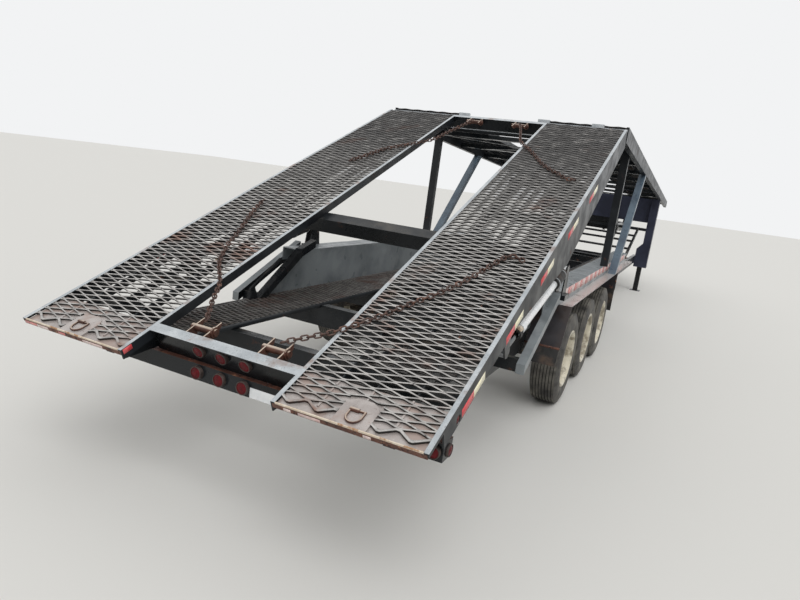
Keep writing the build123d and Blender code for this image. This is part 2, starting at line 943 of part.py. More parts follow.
# Leaf springs on the axles and the hangers that carry them
spring_x = (frame_half_width - 95, frame_half_width - 20)
axle_spacing = axle_stations[1] - axle_stations[0]
spring_half = axle_spacing / 2 - 6
spring_top = frame_bottom - 60
with BuildPart() as leaf_springs:
    for station in axle_stations:
        for side in (-1, 1):
            limits = sorted((side * spring_x[0], side * spring_x[1]))
            low = tyre_radius + axle_radius
            side_profile(
                ground,
                limits,
                (
                    (station - spring_half, spring_top),
                    (station - 60, low + 40),
                    (station + 60, low + 40),
                    (station + spring_half, spring_top),
                    (station + spring_half, spring_top - 14),
                    (station + 60, low),
                    (station - 60, low),
                    (station - spring_half, spring_top - 14),
                ),
            )
leaf_springs.part.label = "leaf_springs"
export_step(leaf_springs.part, "parts/leaf_springs.step")

hanger_stations = [axle_stations[0] - axle_spacing / 2 + n * axle_spacing for n in range(4)]
with BuildPart() as spring_hangers:
    for station in hanger_stations:
        for side in (-1, 1):
            limits = sorted((side * spring_x[0], side * frame_half_width))
            side_profile(
                ground,
                limits,
                (
                    (station - 110, frame_bottom),
                    (station + 110, frame_bottom),
                    (station + 80, spring_top),
                    (station - 80, spring_top),
                ),
            )
spring_hangers.part.label = "spring_hangers"
export_step(spring_hangers.part, "parts/spring_hangers.step")

# Wheels: a tyre and a deep-dished steel rim with its hub, six times over.
# The profiles give the distance from the axle and the distance outboard of
# the tyre's middle.
bead = rim_radius
tyre_half = tyre_width / 2
tyre_outline = (
    (bead, -tyre_half + 26),
    (bead + 70, -tyre_half),
    (tyre_radius - 28, -tyre_half + 12),
    (tyre_radius, -tyre_half + 50),
    (tyre_radius, tyre_half - 50),
    (tyre_radius - 28, tyre_half - 12),
    (bead + 70, tyre_half),
    (bead, tyre_half - 26),
)
rim_outline = (
    (rim_radius + 18, -tyre_half + 10),
    (rim_radius + 18, -tyre_half + 18),
    (rim_radius, -tyre_half + 22),
    (rim_radius - 18, 0),
    (rim_radius, tyre_half - 22),
    (rim_radius + 18, tyre_half - 18),
    (rim_radius + 18, tyre_half - 10),
    (rim_radius - 8, tyre_half - 14),
    (rim_radius - 26, 0),
    (rim_radius - 26, -26),
    (150, -46),
    (110, -46),
    (110, 30),
    (70, 40),
    (70, 80),
    (0, 80),
    (0, 40),
    (spindle_radius + running_gap, 40),
    (spindle_radius + running_gap, -100),
    (195, -100),
    (195, -56),
    (150, -56),
    (rim_radius - 26, -36),
    (rim_radius - 8, -tyre_half + 14),
)
for row, station in zip(("rear", "middle", "front"), axle_stations):
    for side, end in ((-1, "left"), (1, "right")):
        centre = Vector(side * tyre_centre, at(station), tyre_radius)
        section = Plane(origin=centre, x_dir=(0, 0, 1), z_dir=(0, side, 0))
        turn = Axis(centre, (1, 0, 0))
        with BuildPart() as tyre:
            with BuildSketch(section):
                Polygon(*tyre_outline, align=None)
            revolve(axis=turn)
        tyre.part.label = f"tyre_{row}_{end}"
        export_step(tyre.part, f"parts/tyre_{row}_{end}.step")
        with BuildPart() as rim:
            with BuildSketch(section):
                Polygon(*rim_outline, align=None)
            revolve(axis=turn)
        rim.part.label = f"rim_{row}_{end}"
        export_step(rim.part, f"parts/rim_{row}_{end}.step")


def under_deck(station, depth):
    """Height of a line that runs a depth below the front deck's surface."""
    return deck_height(station) - depth / cos(front_angle)


# Posts on the wheel boxes and braces on their shelves that carry the front deck
with BuildPart() as deck_posts:
    for side in (-1, 1):
        post = sorted((side * post_inner, side * post_outer))
        rear = post_station - post_depth / 2
        front = post_station + post_depth / 2
        side_profile(
            ground,
            post,
            (
                (rear, box_top),
                (front, box_top),
                (front, under_deck(front, stringer_depth + beam_depth)),
                (rear, under_deck(rear, stringer_depth + beam_depth)),
            ),
        )
deck_posts.part.label = "deck_posts"
export_step(deck_posts.part, "parts/deck_posts.step")

with BuildPart() as deck_braces:
    for side in (-1, 1):
        brace = sorted((side * brace_inner, side * half_width))
        front = brace_head_station + brace_depth
        side_profile(
            ground,
            brace,
            (
                (brace_foot_station, box_lip_bottom),
                (brace_foot_station + brace_depth, box_lip_bottom),
                (front, under_deck(front, front_rail_depth)),
                (brace_head_station, under_deck(brace_head_station, front_rail_depth)),
            ),
        )
deck_braces.part.label = "deck_braces"
export_step(deck_braces.part, "parts/deck_braces.step")

# Front deck: side rails of open channel
with BuildPart() as front_side_rails:
    for side in (-1, 1):
        web = sorted((side * (half_width - frame_wall), side * half_width))
        side_profile(
            upper,
            web,
            (
                (0, 0),
                (front_length, 0),
                (front_length, -front_rail_depth),
                (0, -front_rail_depth),
            ),
        )
        lip = sorted((side * (half_width - lip_width), side * half_width))
        side_profile(
            upper,
            lip,
            ((0, 0), (front_length, 0), (front_length, -lip_thickness), (0, -lip_thickness)),
        )
        foot = sorted((side * (half_width - front_rail_flange), side * half_width))
        side_profile(
            upper,
            foot,
            (
                (0, -front_rail_depth),
                (front_length, -front_rail_depth),
                (front_length, 8 - front_rail_depth),
                (0, 8 - front_rail_depth),
            ),
        )
front_side_rails.part.label = "front_side_rails"
export_step(front_side_rails.part, "parts/front_side_rails.step")

# Front deck: inner rails and ribs, lying on the cross beams
with BuildPart(upper) as front_stringers:
    for side in (-1, 1):
        block(
            (side * runway_inner, side * (runway_inner + stringer_wall)),
            (0, front_length),
            (-stringer_depth, 0),
        )
        block(
            (side * (runway_inner + stringer_wall), side * (runway_inner + lip_width)),
            (0, front_length),
            (-mesh_thickness, 0),
        )
        for rib in rib_xs:
            block(
                (side * rib, side * (rib + stringer_wall)),
                (0, front_length),
                (-stringer_depth, -mesh_thickness),
            )
front_stringers.part.label = "front_stringers"
export_step(front_stringers.part, "parts/front_stringers.step")

# Front deck: a plain grid of bars over the ribs
grid_rows = 53
grid_bar = 24
grid_pitch = front_length / grid_rows
grid_edges = (
    runway_inner + lip_width,
    *(rib + stringer_wall / 2 for rib in rib_xs),
    half_width - lip_width,
)
grid_columns = [
    ((first + last) / 2, last - first - grid_bar)
    for first, last in zip(grid_edges, grid_edges[1:])
]
with BuildPart() as front_runways:
    with BuildSketch(upper):
        for side in (-1, 1):
            with Locations((side * (grid_edges[0] + grid_edges[-1]) / 2, front_length / 2)):
                Rectangle(grid_edges[-1] - grid_edges[0], front_length)
            for middle, width in grid_columns:
                centres = [
                    (side * middle, (row + 0.5) * grid_pitch) for row in range(grid_rows)
                ]
                with Locations(*centres):
                    Rectangle(width, grid_pitch - grid_bar, mode=Mode.SUBTRACT)
    extrude(amount=-mesh_thickness)
front_runways.part.label = "front_runways"
export_step(front_runways.part, "parts/front_runways.step")

front_beam_count = 9
front_beam_first = (post_station - front_deck_station) / cos(front_angle)
front_beam_last = front_length - 470
front_beam_width = 90
with BuildPart(upper) as front_cross_beams:
    for beam in range(front_beam_count):
        share = beam / (front_beam_count - 1)
        station = front_beam_first + share * (front_beam_last - front_beam_first)
        block(
            (frame_wall - half_width, half_width - frame_wall),
            (station - front_beam_width / 2, station + front_beam_width / 2),
            (-stringer_depth - beam_depth, -stringer_depth),
        )
front_cross_beams.part.label = "front_cross_beams"
export_step(front_cross_beams.part, "parts/front_cross_beams.step")

# Flat lacing bars that cross below every second bay of the front deck
lacing_half_width = 1000
lacing_bar = (45, 8)
with BuildPart(upper) as deck_lacing:
    bay = (front_beam_last - front_beam_first) / (front_beam_count - 1)
    lacing_length = hypot(2 * lacing_half_width, bay)
    for beam in range(0, front_beam_count - 1, 2):
        middle = (
            0,
            front_beam_first + (beam + 0.5) * bay,
            -stringer_depth - beam_depth - lacing_bar[1] / 2,
        )
        for side in (-1, 1):
            turn = side * degrees(atan2(bay, 2 * lacing_half_width))
            with Locations(Location(middle, (0, 0, turn))):
                Box(lacing_length, *lacing_bar)
deck_lacing.part.label = "deck_lacing"
export_step(deck_lacing.part, "parts/deck_lacing.step")

# Peak beam with the rear edge bar and its stops, the hinge lugs and the long
# hinge pin of the rear deck
peak_beam_reach = (40, 140)
edge_bar_reach = 38
edge_bar_depths = (-62, -30)
stop_xs = (-430, 450, 1000)
stop_length = 120
upper_hinge = upper.to_local_coords(Vector(0, at(hinge_station), hinge_height))
with BuildPart(upper) as peak_beam:
    block(
        (frame_wall - half_width, half_width - frame_wall),
        peak_beam_reach,
        (frame_wall + 1 - front_rail_depth, -stringer_depth),
    )
    block(
        (frame_wall - half_width, half_width - frame_wall),
        (-edge_bar_reach, 0),
        edge_bar_depths,
    )
    for x in stop_xs:
        block(
            (x - stop_length / 2, x + stop_length / 2),
            (-edge_bar_reach, 0),
            (edge_bar_depths[1], 0),
        )
    beam_middle = sum(peak_beam_reach) / 2
    for side in (-1, 1):
        for place in lug_places:
            start = place + lug_thickness + lug_gap
            lug = sorted((side * start, side * (start + lug_thickness)))
            centre = Plane(
                origin=(lug[0], at(hinge_station), hinge_height),
                x_dir=(0, 1, 0),
                z_dir=(1, 0, 0),
            )
            side_profile(
                upper,
                lug,
                (
                    (upper_hinge.Y, upper_hinge.Z - lug_radius),
                    (beam_middle, frame_wall + 1 - front_rail_depth),
                    (beam_middle, -stringer_depth - beam_depth),
                    (upper_hinge.Y, upper_hinge.Z + lug_radius),
                ),
            )
            with BuildSketch(centre):
                Circle(lug_radius)
            extrude(amount=lug_thickness)
    pin_end = lug_places[-1] + 2 * lug_thickness + lug_gap + 20
    pin = Plane(
        origin=(-pin_end, at(hinge_station), hinge_height),
        x_dir=(0, 1, 0),
        z_dir=(1, 0, 0),
    )
    with BuildSketch(pin):
        Circle(hinge_pin_radius)
    extrude(amount=2 * pin_end)
peak_beam.part.label = "peak_beam"
export_step(peak_beam.part, "parts/peak_beam.step")

# Risers that join the lower frame, the gooseneck and the front deck, each with
# a wider foot box below a sloping shoulder
with BuildPart() as risers:
    for side in (-1, 1):
        face = Plane(origin=(0, at(riser_rear_station), 0), x_dir=(1, 0, 0), z_dir=(0, -1, 0))
        with BuildSketch(face) as section:
            Polygon(
                (side * riser_inner, riser_bottom),
                (side * riser_outer, riser_bottom),
                (side * riser_outer, front_deck_height),
                (side * riser_post_inner, front_deck_height),
                (side * riser_post_inner, riser_shoulder[1]),
                (side * riser_inner, riser_shoulder[0]),
                align=None,
            )
        extrude(section.sketch, amount=riser_front_station - riser_rear_station, dir=(0, 1, 0))
    split(bisect_by=upper.offset(-front_rail_depth), keep=Keep.BOTTOM)
risers.part.label = "risers"
export_step(risers.part, "parts/risers.step")

# Landing legs with their foot plates
leg_x = (riser_inner + riser_outer) / 2
leg_size = 100
leg_station = (riser_rear_station + riser_front_station) / 2
with BuildPart() as landing_legs:
    for side in (-1, 1):
        block(
            (side * (leg_x - leg_size / 2), side * (leg_x + leg_size / 2)),
            (at(leg_station - leg_size / 2), at(leg_station + leg_size / 2)),
            (12, riser_bottom),
        )
        block(
            (side * (leg_x - 108), side * (leg_x + 108)),
            (at(leg_station - 110), at(leg_station + 110)),
            (0, 12),
        )
landing_legs.part.label = "landing_legs"
export_step(landing_legs.part, "parts/landing_legs.step")

# Gooseneck: two beams tied together, with front posts up to the deck
neck_root = riser_rear_station + 60
neck_ties = (
    (neck_root, neck_root + 140),
    (neck_root + 740, neck_root + 820),
    (neck_front_station - 80, neck_front_station),
)
neck_tie_depth = 60
neck_post_size = 80
post_beam = at(front_deck_station) + front_beam_last * cos(front_angle) - at(0)
with BuildPart() as neck_frame:
    for side in (-1, 1):
        block(
            (side * neck_inner, side * neck_outer),
            (at(neck_root), at(neck_front_station)),
            (neck_bottom, neck_top),
        )
        post = sorted((side * neck_inner, side * neck_outer))
        rear = post_beam - neck_post_size / 2
        front = post_beam + neck_post_size / 2
        side_profile(
            ground,
            post,
            (
                (rear, neck_top),
                (front, neck_top),
                (front, under_deck(front, stringer_depth + beam_depth)),
                (rear, under_deck(rear, stringer_depth + beam_depth)),
            ),
        )
    for rear, front in neck_ties[1:]:
        block((-neck_inner, neck_inner), (at(rear), at(front)), (neck_bottom, neck_top))
    block(
        (-riser_post_inner, riser_post_inner),
        (at(neck_ties[0][0]), at(neck_ties[0][1])),
        (neck_top - neck_tie_depth, neck_top),
    )
neck_frame.part.label = "neck_frame"
export_step(neck_frame.part, "parts/neck_frame.step")

# Coupler plate with the hole that the kingpin's shoulder passes through
plate_thickness = 12
shoulder_radius = 36.5
shoulder_gap = 0.8
with BuildPart() as coupler_plate:
    block(
        (-neck_outer, neck_outer),
        (at(kingpin_station - 850), at(neck_front_station)),
        (neck_bottom - plate_thickness, neck_bottom),
    )
    with BuildSketch(Plane(origin=(0, at(kingpin_station), neck_bottom))):
        Circle(shoulder_radius + shoulder_gap)
    extrude(amount=-plate_thickness, mode=Mode.SUBTRACT)
coupler_plate.part.label = "coupler_plate"
export_step(coupler_plate.part, "parts/coupler_plate.step")

# Kingpin: a collar on the plate, a shoulder, the neck and the lower flange,
# each with its radius and its height below the one before
kingpin_collar = (65, 20)
kingpin_shoulder = (shoulder_radius, plate_thickness + 13)
kingpin_neck = (kingpin_radius, 35)
kingpin_flange = (35.7, 16)
with BuildPart() as kingpin:
    level = neck_bottom + kingpin_collar[1]
    for radius, height in (kingpin_collar, kingpin_shoulder, kingpin_neck, kingpin_flange):
        with BuildSketch(Plane(origin=(0, at(kingpin_station), level), z_dir=(0, 0, -1))):
            Circle(radius)
        extrude(amount=height)
        level -= height
kingpin.part.label = "kingpin"
export_step(kingpin.part, "parts/kingpin.step")

# Panel between the risers
panel_station = neck_root + 40
panel_bottom = neck_top + 130
panel_head_gap = 40
with BuildPart() as bulkhead:
    panel_head = stringer_depth + beam_depth + panel_head_gap
    side_profile(
        ground,
        (-riser_post_inner, riser_post_inner),
        (
            (panel_station, panel_bottom),
            (panel_station + sheet, panel_bottom),
            (panel_station + sheet, under_deck(panel_station + sheet, panel_head)),
            (panel_station, under_deck(panel_station, panel_head)),
        ),
    )
bulkhead.part.label = "bulkhead"
export_step(bulkhead.part, "parts/bulkhead.step")

# Hydraulic power box on the neck
power_box_rear = neck_root + 240
power_box = (840, 450, 330)
with BuildPart() as hydraulic_box:
    block(
        (-power_box[0] / 2, power_box[0] / 2),
        (at(power_box_rear), at(power_box_rear + power_box[1])),
        (neck_top, neck_top + power_box[2]),
    )
hydraulic_box.part.label = "hydraulic_box"
export_step(hydraulic_box.part, "parts/hydraulic_box.step")

# Lamps on the bumper: three in the middle, and one that faces aft and one that
# faces sideways at each end
bumper_middle = (bumper_bottom + bumper_top) / 2
corner_lamp_x = half_width - 55
corner_lamp_radius = 32
side_lamp_station = bumper_station + 66
with BuildPart() as frame_lamps:
    lamps = [(x, lamp_radius) for x in lamp_xs]
    lamps += [(side * corner_lamp_x, corner_lamp_radius) for side in (-1, 1)]
    for x, radius in lamps:
        face = Plane(
            origin=(x, at(bumper_station), bumper_middle), x_dir=(1, 0, 0), z_dir=(0, -1, 0)
        )
        with BuildSketch(face):
            Circle(radius)
        extrude(amount=lamp_thickness)
    for side in (-1, 1):
        face = Plane(
            origin=(side * bumper_end, at(side_lamp_station), bumper_middle - 5),
            x_dir=(0, 1, 0),
            z_dir=(side, 0, 0),
        )
        with BuildSketch(face):
            Circle(corner_lamp_radius)
        extrude(amount=lamp_step)
frame_lamps.part.label = "frame_lamps"
export_step(frame_lamps.part, "parts/frame_lamps.step")

# Blank number plate beside the middle lamps
plate_left = 198
plate_size = (292, 55)
with BuildPart() as number_plate:
    block(
        (plate_left, plate_left + plate_size[0]),
        (at(bumper_station - 3), at(bumper_station)),
        (bumper_bottom + 2, bumper_bottom + 2 + plate_size[1]),
    )
number_plate.part.label = "number_plate"
export_step(number_plate.part, "parts/number_plate.step")
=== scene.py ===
"""Looks for a car transporter semi-trailer: expanded-metal runways, chains,
wheels, lamps, tape and the finishes of its steel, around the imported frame.

Lengths are in metres. A deck has its own flat coordinates: x across, s up or
along the slope from its origin, and n out of its top surface.
"""

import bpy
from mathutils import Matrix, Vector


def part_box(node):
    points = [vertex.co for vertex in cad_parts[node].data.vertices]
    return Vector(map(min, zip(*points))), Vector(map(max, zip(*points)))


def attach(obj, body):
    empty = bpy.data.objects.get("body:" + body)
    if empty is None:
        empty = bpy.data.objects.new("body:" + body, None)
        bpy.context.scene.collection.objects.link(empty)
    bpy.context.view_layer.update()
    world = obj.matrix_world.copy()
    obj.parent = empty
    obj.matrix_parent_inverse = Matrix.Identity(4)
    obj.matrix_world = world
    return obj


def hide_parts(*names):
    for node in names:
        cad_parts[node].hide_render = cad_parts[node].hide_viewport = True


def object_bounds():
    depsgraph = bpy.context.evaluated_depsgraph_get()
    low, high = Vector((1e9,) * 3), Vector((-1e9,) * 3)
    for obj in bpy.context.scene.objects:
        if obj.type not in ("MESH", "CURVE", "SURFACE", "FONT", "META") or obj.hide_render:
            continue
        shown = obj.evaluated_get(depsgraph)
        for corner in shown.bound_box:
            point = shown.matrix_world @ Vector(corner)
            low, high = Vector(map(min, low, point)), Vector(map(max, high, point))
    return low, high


bl_info = {
    "name": "Car transporter semi-trailer",
    "version": (1, 0, 0),
    "blender": (4, 5, 0),
    "location": "3D View > Sidebar > Trailer",
    "description": "Expanded-metal runways, chains, wheels, lamps, tape and finishes",
    "category": "Object",
}

from typing import NamedTuple

import bmesh
import bpy
import numpy as np
from bpy.props import FloatProperty, FloatVectorProperty, IntProperty, PointerProperty
from mathutils import Matrix, Vector

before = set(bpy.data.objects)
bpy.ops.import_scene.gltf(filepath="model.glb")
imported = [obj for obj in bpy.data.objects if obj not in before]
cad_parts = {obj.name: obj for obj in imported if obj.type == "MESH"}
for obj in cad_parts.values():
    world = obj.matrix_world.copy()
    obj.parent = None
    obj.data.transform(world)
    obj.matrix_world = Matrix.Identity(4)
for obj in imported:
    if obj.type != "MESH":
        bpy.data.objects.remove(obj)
cad_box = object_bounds()

MM = 0.001
# points nearer than this are one point, and shorter edges are taken out
WELD_DISTANCE, LEAST_EDGE = 0.02 * MM, 0.01 * MM
TAIL_Y = cad_box[0].y
SIDES = {"left": -1, "right": 1}


# ---------------------------------------------------------------- places


def station(distance):
    """Row Y of a place so far forward of the tail."""
    return TAIL_Y + distance


def span(side, inner, outer):
    """The two x limits on one side of a strip between two distances from the
    middle, the lower one first."""
    return sorted((side * inner, side * outer))


class Deck:
    """A sloping plane: its origin on the middle line, and its slope as a rise over a run."""

    def __init__(self, start, height, run, rise):
        self.origin = np.array([0.0, station(start), height])
        self.length = float(np.hypot(run, rise))
        self.along = np.array([0.0, run, rise]) / self.length
        self.up = np.array([0.0, -rise, run]) / self.length

    def place(self, flat):
        """Row coordinates of points given as x, s, n: the origin + x across
        + s along + n up."""
        flat = np.asarray(flat, float)
        return self.origin + flat @ self.turn().T

    def turn(self):
        """The three directions x, s, n as the columns of a matrix."""
        return np.stack([np.array([1.0, 0.0, 0.0]), self.along, self.up], axis=1)


# station and height of each deck's rear end, then its run and rise
REAR = Deck(0.0, 0.820, 4.240, 1.780)
FRONT = Deck(4.360, 2.636, 10.710, -0.576)
LOWER = Deck(0.0, 0.791, 10.350, 0.0)

# distances from the middle line
HALF_WIDTH = 1.295
RUNWAY_INNER, RUNWAY_OUTER = 0.514, 1.270
RAIL_INNER, LIP_INNER = 0.489, 0.497
BOX_WALL = 1.190
AXLES = {"rear": 3.490, "middle": 4.543, "front": 5.596}
TYRE_CENTRE, TYRE_RADIUS = 1.139, 0.433


# ---------------------------------------------------------------- meshes


def ring_faces(rows, columns, closed_rows=False, closed_columns=False):
    """Quads over a grid of points counted row by row. A closed direction joins
    its last line of points to its first."""
    row = np.arange(rows if closed_rows else rows - 1)[:, None]
    column = np.arange(columns if closed_columns else columns - 1)[None, :]
    next_row, next_column = (row + 1) % rows, (column + 1) % columns
    corners = [
        row * columns + column,
        row * columns + next_column,
        next_row * columns + next_column,
        next_row * columns + column,
    ]
    return np.stack(corners, axis=-1).reshape(-1, 4)


def repeat(points, faces, places):
    """Copies of one small mesh: places is an array of 4 by 4 matrices."""
    places = np.asarray(places, float)
    turned = np.einsum("cij,pj->cpi", places[:, :3, :3], points) + places[:, None, :3, 3]
    shift = np.arange(len(places))[:, None, None] * len(points)
    return turned.reshape(-1, 3), (faces[None] + shift).reshape(-1, faces.shape[1])


def join(*meshes):
    """One mesh from several pairs of points and lists of face arrays."""
    points, faces, count = [], [], 0
    for some_points, some_faces in meshes:
        if isinstance(some_faces, np.ndarray):
            some_faces = [some_faces]
        points.append(some_points)
        faces += [block + count for block in some_faces]
        count += len(some_points)
    return np.concatenate(points), faces


def make_piece(name, layers, body, replaced=(), weld=False, smooth=None, attribute=None):
    """Puts layers of (points, face arrays, material) into one mesh that rides on
    a body. A layer with no points of its own uses those of the one before. An
    angle in smooth, in degrees, keeps sharper edges sharp, and an attribute is
    a name with one value for each point."""
    mesh = bpy.data.meshes.new(name)
    points, sizes, corners, numbers, start = [], [], [], [], 0
    for number, (some_points, some_faces, material) in enumerate(layers):
        mesh.materials.append(material)
        if len(some_points):
            start = sum(map(len, points))
            points.append(some_points)
        for block in [some_faces] if isinstance(some_faces, np.ndarray) else some_faces:
            corners.append((block + start).reshape(-1))
            sizes.append(np.full(len(block), block.shape[1]))
            numbers.append(np.full(len(block), number))
    points, corners = np.concatenate(points), np.concatenate(corners)
    sizes, numbers = np.concatenate(sizes), np.concatenate(numbers)
    mesh.vertices.add(len(points))
    mesh.vertices.foreach_set("co", points.astype(np.float32).reshape(-1))
    mesh.loops.add(len(corners))
    mesh.loops.foreach_set("vertex_index", corners.astype(np.int32))
    mesh.polygons.add(len(sizes))
    mesh.polygons.foreach_set("loop_start", (np.cumsum(sizes) - sizes).astype(np.int32))
    mesh.polygons.foreach_set("loop_total", sizes.astype(np.int32))
    mesh.polygons.foreach_set("material_index", numbers.astype(np.int32))
    mesh.update(calc_edges=True)
    if attribute:
        values = mesh.attributes.new(attribute[0], "FLOAT", "POINT")
        values.data.foreach_set("value", np.asarray(attribute[1], np.float32))
    if weld:
        work = bmesh.new()
        work.from_mesh(mesh)
        bmesh.ops.remove_doubles(work, verts=work.verts, dist=WELD_DISTANCE)
        bmesh.ops.dissolve_degenerate(work, edges=work.edges, dist=LEAST_EDGE)
        bmesh.ops.recalc_face_normals(work, faces=work.faces)
        work.to_mesh(mesh)
        work.free()
    mesh.validate()
    if smooth is not None:
        mesh.shade_smooth()
        mesh.set_sharp_from_angle(angle=np.radians(smooth))
    piece = bpy.data.objects.new(name, mesh)
    bpy.context.scene.collection.objects.link(piece)
    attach(piece, body)
    if replaced:
        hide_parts(*replaced)


def turned(profile, segments, axis_turn=None, centre=(0.0, 0.0, 0.0), closed=True):
    """A profile of (radius, height) carried round the height axis: each point
    becomes the circle (radius cos a, radius sin a, height). The axis is z, or
    the third column of axis_turn."""
    profile = np.asarray(profile, float)
    angle = np.linspace(0.0, 2.0 * np.pi, segments, endpoint=False)[:, None]
    points = np.stack(
        [
            profile[None, :, 0] * np.cos(angle),
            profile[None, :, 0] * np.sin(angle),
            np.broadcast_to(profile[None, :, 1], (segments, len(profile))),
        ],
        axis=-1,
    ).reshape(-1, 3)
    if axis_turn is not None:
        points = points @ np.asarray(axis_turn).T
    faces = ring_faces(segments, len(profile), closed_rows=True, closed_columns=closed)
    return points + np.asarray(centre), faces


def collar(inner, outer, start, stop):
    """The profile of a plain ring between two radii and two heights."""
    return ((inner, start), (outer, start), (outer, stop), (inner, stop))


def facing(direction):
    """A turn whose third column is the direction."""
    return np.array(Vector(direction).to_track_quat("Z", "Y").to_matrix())


def boxes(rows):
    """Plain blocks from rows of x, y and z limits: eight corners and six quads
    for each row."""
    rows = np.asarray(rows, float).reshape(-1, 3, 2)
    pick = np.array([[i, j, k] for i in (0, 1) for j in (0, 1) for k in (0, 1)])
    points = np.stack([rows[:, axis][:, pick[:, axis]] for axis in range(3)], axis=-1)
    quads = np.array(
        [[0, 1, 3, 2], [4, 6, 7, 5], [0, 4, 5, 1], [2, 3, 7, 6], [0, 2, 6, 4], [1, 5, 7, 3]]
    )
    shift = np.arange(len(rows))[:, None, None] * 8
    return points.reshape(-1, 3), (quads[None] + shift).reshape(-1, 4)


# ---------------------------------------------------------------- materials


def linear(code):
    """An sRGB hex code as linear red, green and blue, and an alpha of one."""
    parts = np.array([int(code[place : place + 2], 16) for place in (1, 3, 5)]) / 255.0
    low = parts / 12.92
    high = ((parts + 0.055) / 1.055) ** 2.4
    return (*np.where(parts <= 0.04045, low, high).tolist(), 1.0)


def add_node(tree, kind, inputs=None, **settings):
    """Adds a node. Its settings are its own properties, and an input is a value
    or the socket that it takes its value from."""
    node = tree.nodes.new(kind)
    for name, value in settings.items():
        setattr(node, name, value)
    for name, value in (inputs or {}).items():
        if isinstance(value, bpy.types.NodeSocket):
            tree.links.new(value, node.inputs[name])
        else:
            node.inputs[name].default_value = value
    return node


def new_material(name):
    """An empty material with its node tree, shader and object coordinates."""
    material = bpy.data.materials.new(name)
    material.use_nodes = True
    tree = material.node_tree
    tree.nodes.clear()
    shader = add_node(tree, "ShaderNodeBsdfPrincipled")
    output = add_node(tree, "ShaderNodeOutputMaterial", {"Surface": shader.outputs[0]})
    output.is_active_output = True
    coordinates = add_node(tree, "ShaderNodeTexCoord")
    return material, tree, shader, coordinates.outputs["Object"]


class Patch(NamedTuple):
    """Lumps of another colour over a finish: their size, the noise level where
    they start and where they are full, their roughness and greatest share, and
    if it has them, how far a face has to look up to bear them and the attribute
    that carries their strength."""

    colour: str
    size: float
    start: float
    full: float
    roughness: float
    most: float = 1.0
    up: float | None = None
    attribute: str | None = None


class Finish(NamedTuple):
    """Two tones that drift into each other in lumps of tone_size, with a
    roughness that drifts between two values, patches over them, and a bump whose
    grain is drawn coarser than the real one, so that it shows."""

    name: str
    tones: tuple
    tone_size: float
    roughness: tuple
    patches: tuple = ()
    metallic: float = 0.0
    bump_size: float = 0.004
    bump_depth: float = 0.0002
    coat: float = 0.0
    specular: float = 0.5


# noise levels between which the tones and the roughness drift
TONE_LEVELS = {"From Min": 0.35, "From Max": 0.65}
GLOSS_LEVELS = {"From Min": 0.3, "From Max": 0.7}
# how much further than its limit a face may tilt until it bears no patch
TILT_FADE = 0.4
COAT_ROUGHNESS = 0.08


def finish_material(finish):
    """The material of a finish, as noise on object coordinates. Each noise is
    carried from one level to another by a smooth step, which is the share of
    the second tone, the roughness, or the share of a patch."""
    material, tree, shader, where = new_material(finish.name)
    noise, step, mix = "ShaderNodeTexNoise", "ShaderNodeMapRange", "ShaderNodeMix"
    smooth = {"interpolation_type": "SMOOTHSTEP"}
    broad = {"Vector": where, "Detail": 4.0, "Roughness": 0.55}
    ragged = {"Vector": where, "Detail": 6.0, "Roughness": 0.62}

    lumps = add_node(tree, noise, {**broad, "Scale": 1.0 / finish.tone_size}).outputs["Fac"]
    share = add_node(tree, step, {**TONE_LEVELS, "Value": lumps}, **smooth).outputs["Result"]
    tones = {0: share, 6: linear(finish.tones[0]), 7: linear(finish.tones[1])}
    colour = add_node(tree, mix, tones, data_type="RGBA").outputs[2]

    lumps = add_node(tree, noise, {**broad, "Scale": 2.5 / finish.tone_size}).outputs["Fac"]
    low, high = finish.roughness
    levels = {**GLOSS_LEVELS, "Value": lumps, "To Min": low, "To Max": high}
    gloss = add_node(tree, step, levels, **smooth).outputs["Result"]

    for patch in finish.patches:
        lumps = add_node(tree, noise, {**ragged, "Scale": 1.0 / patch.size}).outputs["Fac"]
        levels = {"Value": lumps, "From Min": patch.start, "From Max": patch.full}
        share = add_node(tree, step, {**levels, "To Max": patch.most}, **smooth).outputs["Result"]
        limits = []
        if patch.up is not None:
            normal = add_node(tree, "ShaderNodeNewGeometry").outputs["Normal"]
            upward = add_node(tree, "ShaderNodeSeparateXYZ", {"Vector": normal}).outputs["Z"]
            levels = {"Value": upward, "From Min": patch.up - TILT_FADE, "From Max": patch.up}
            limits.append(add_node(tree, step, levels, **smooth).outputs["Result"])
        if patch.attribute is not None:
            carried = add_node(tree, "ShaderNodeAttribute", attribute_name=patch.attribute)
            limits.append(carried.outputs["Fac"])
        for limit in limits:
            times = add_node(tree, "ShaderNodeMath", {0: share, 1: limit}, operation="MULTIPLY")
            share = times.outputs[0]
        over = {0: share, 6: colour, 7: linear(patch.colour)}
        colour = add_node(tree, mix, over, data_type="RGBA").outputs[2]
        over = {0: share, 2: gloss, 3: patch.roughness}
        gloss = add_node(tree, mix, over, data_type="FLOAT").outputs[0]

    grain = {"Vector": where, "Scale": 1.0 / finish.bump_size, "Detail": 3.0, "Roughness": 0.55}
    height = add_node(tree, noise, grain).outputs["Fac"]
    depth = {"Height": height, "Distance": finish.bump_depth, "Strength": 1.0}
    tree.links.new(colour, shader.inputs["Base Color"])
    tree.links.new(gloss, shader.inputs["Roughness"])
    tree.links.new(add_node(tree, "ShaderNodeBump", depth).outputs[0], shader.inputs["Normal"])
    shader.inputs["Metallic"].default_value = finish.metallic
    shader.inputs["Specular IOR Level"].default_value = finish.specular
    shader.inputs["Coat Weight"].default_value = finish.coat
    shader.inputs["Coat Roughness"].default_value = COAT_ROUGHNESS
    return material


# ---------------------------------------------------------------- settings


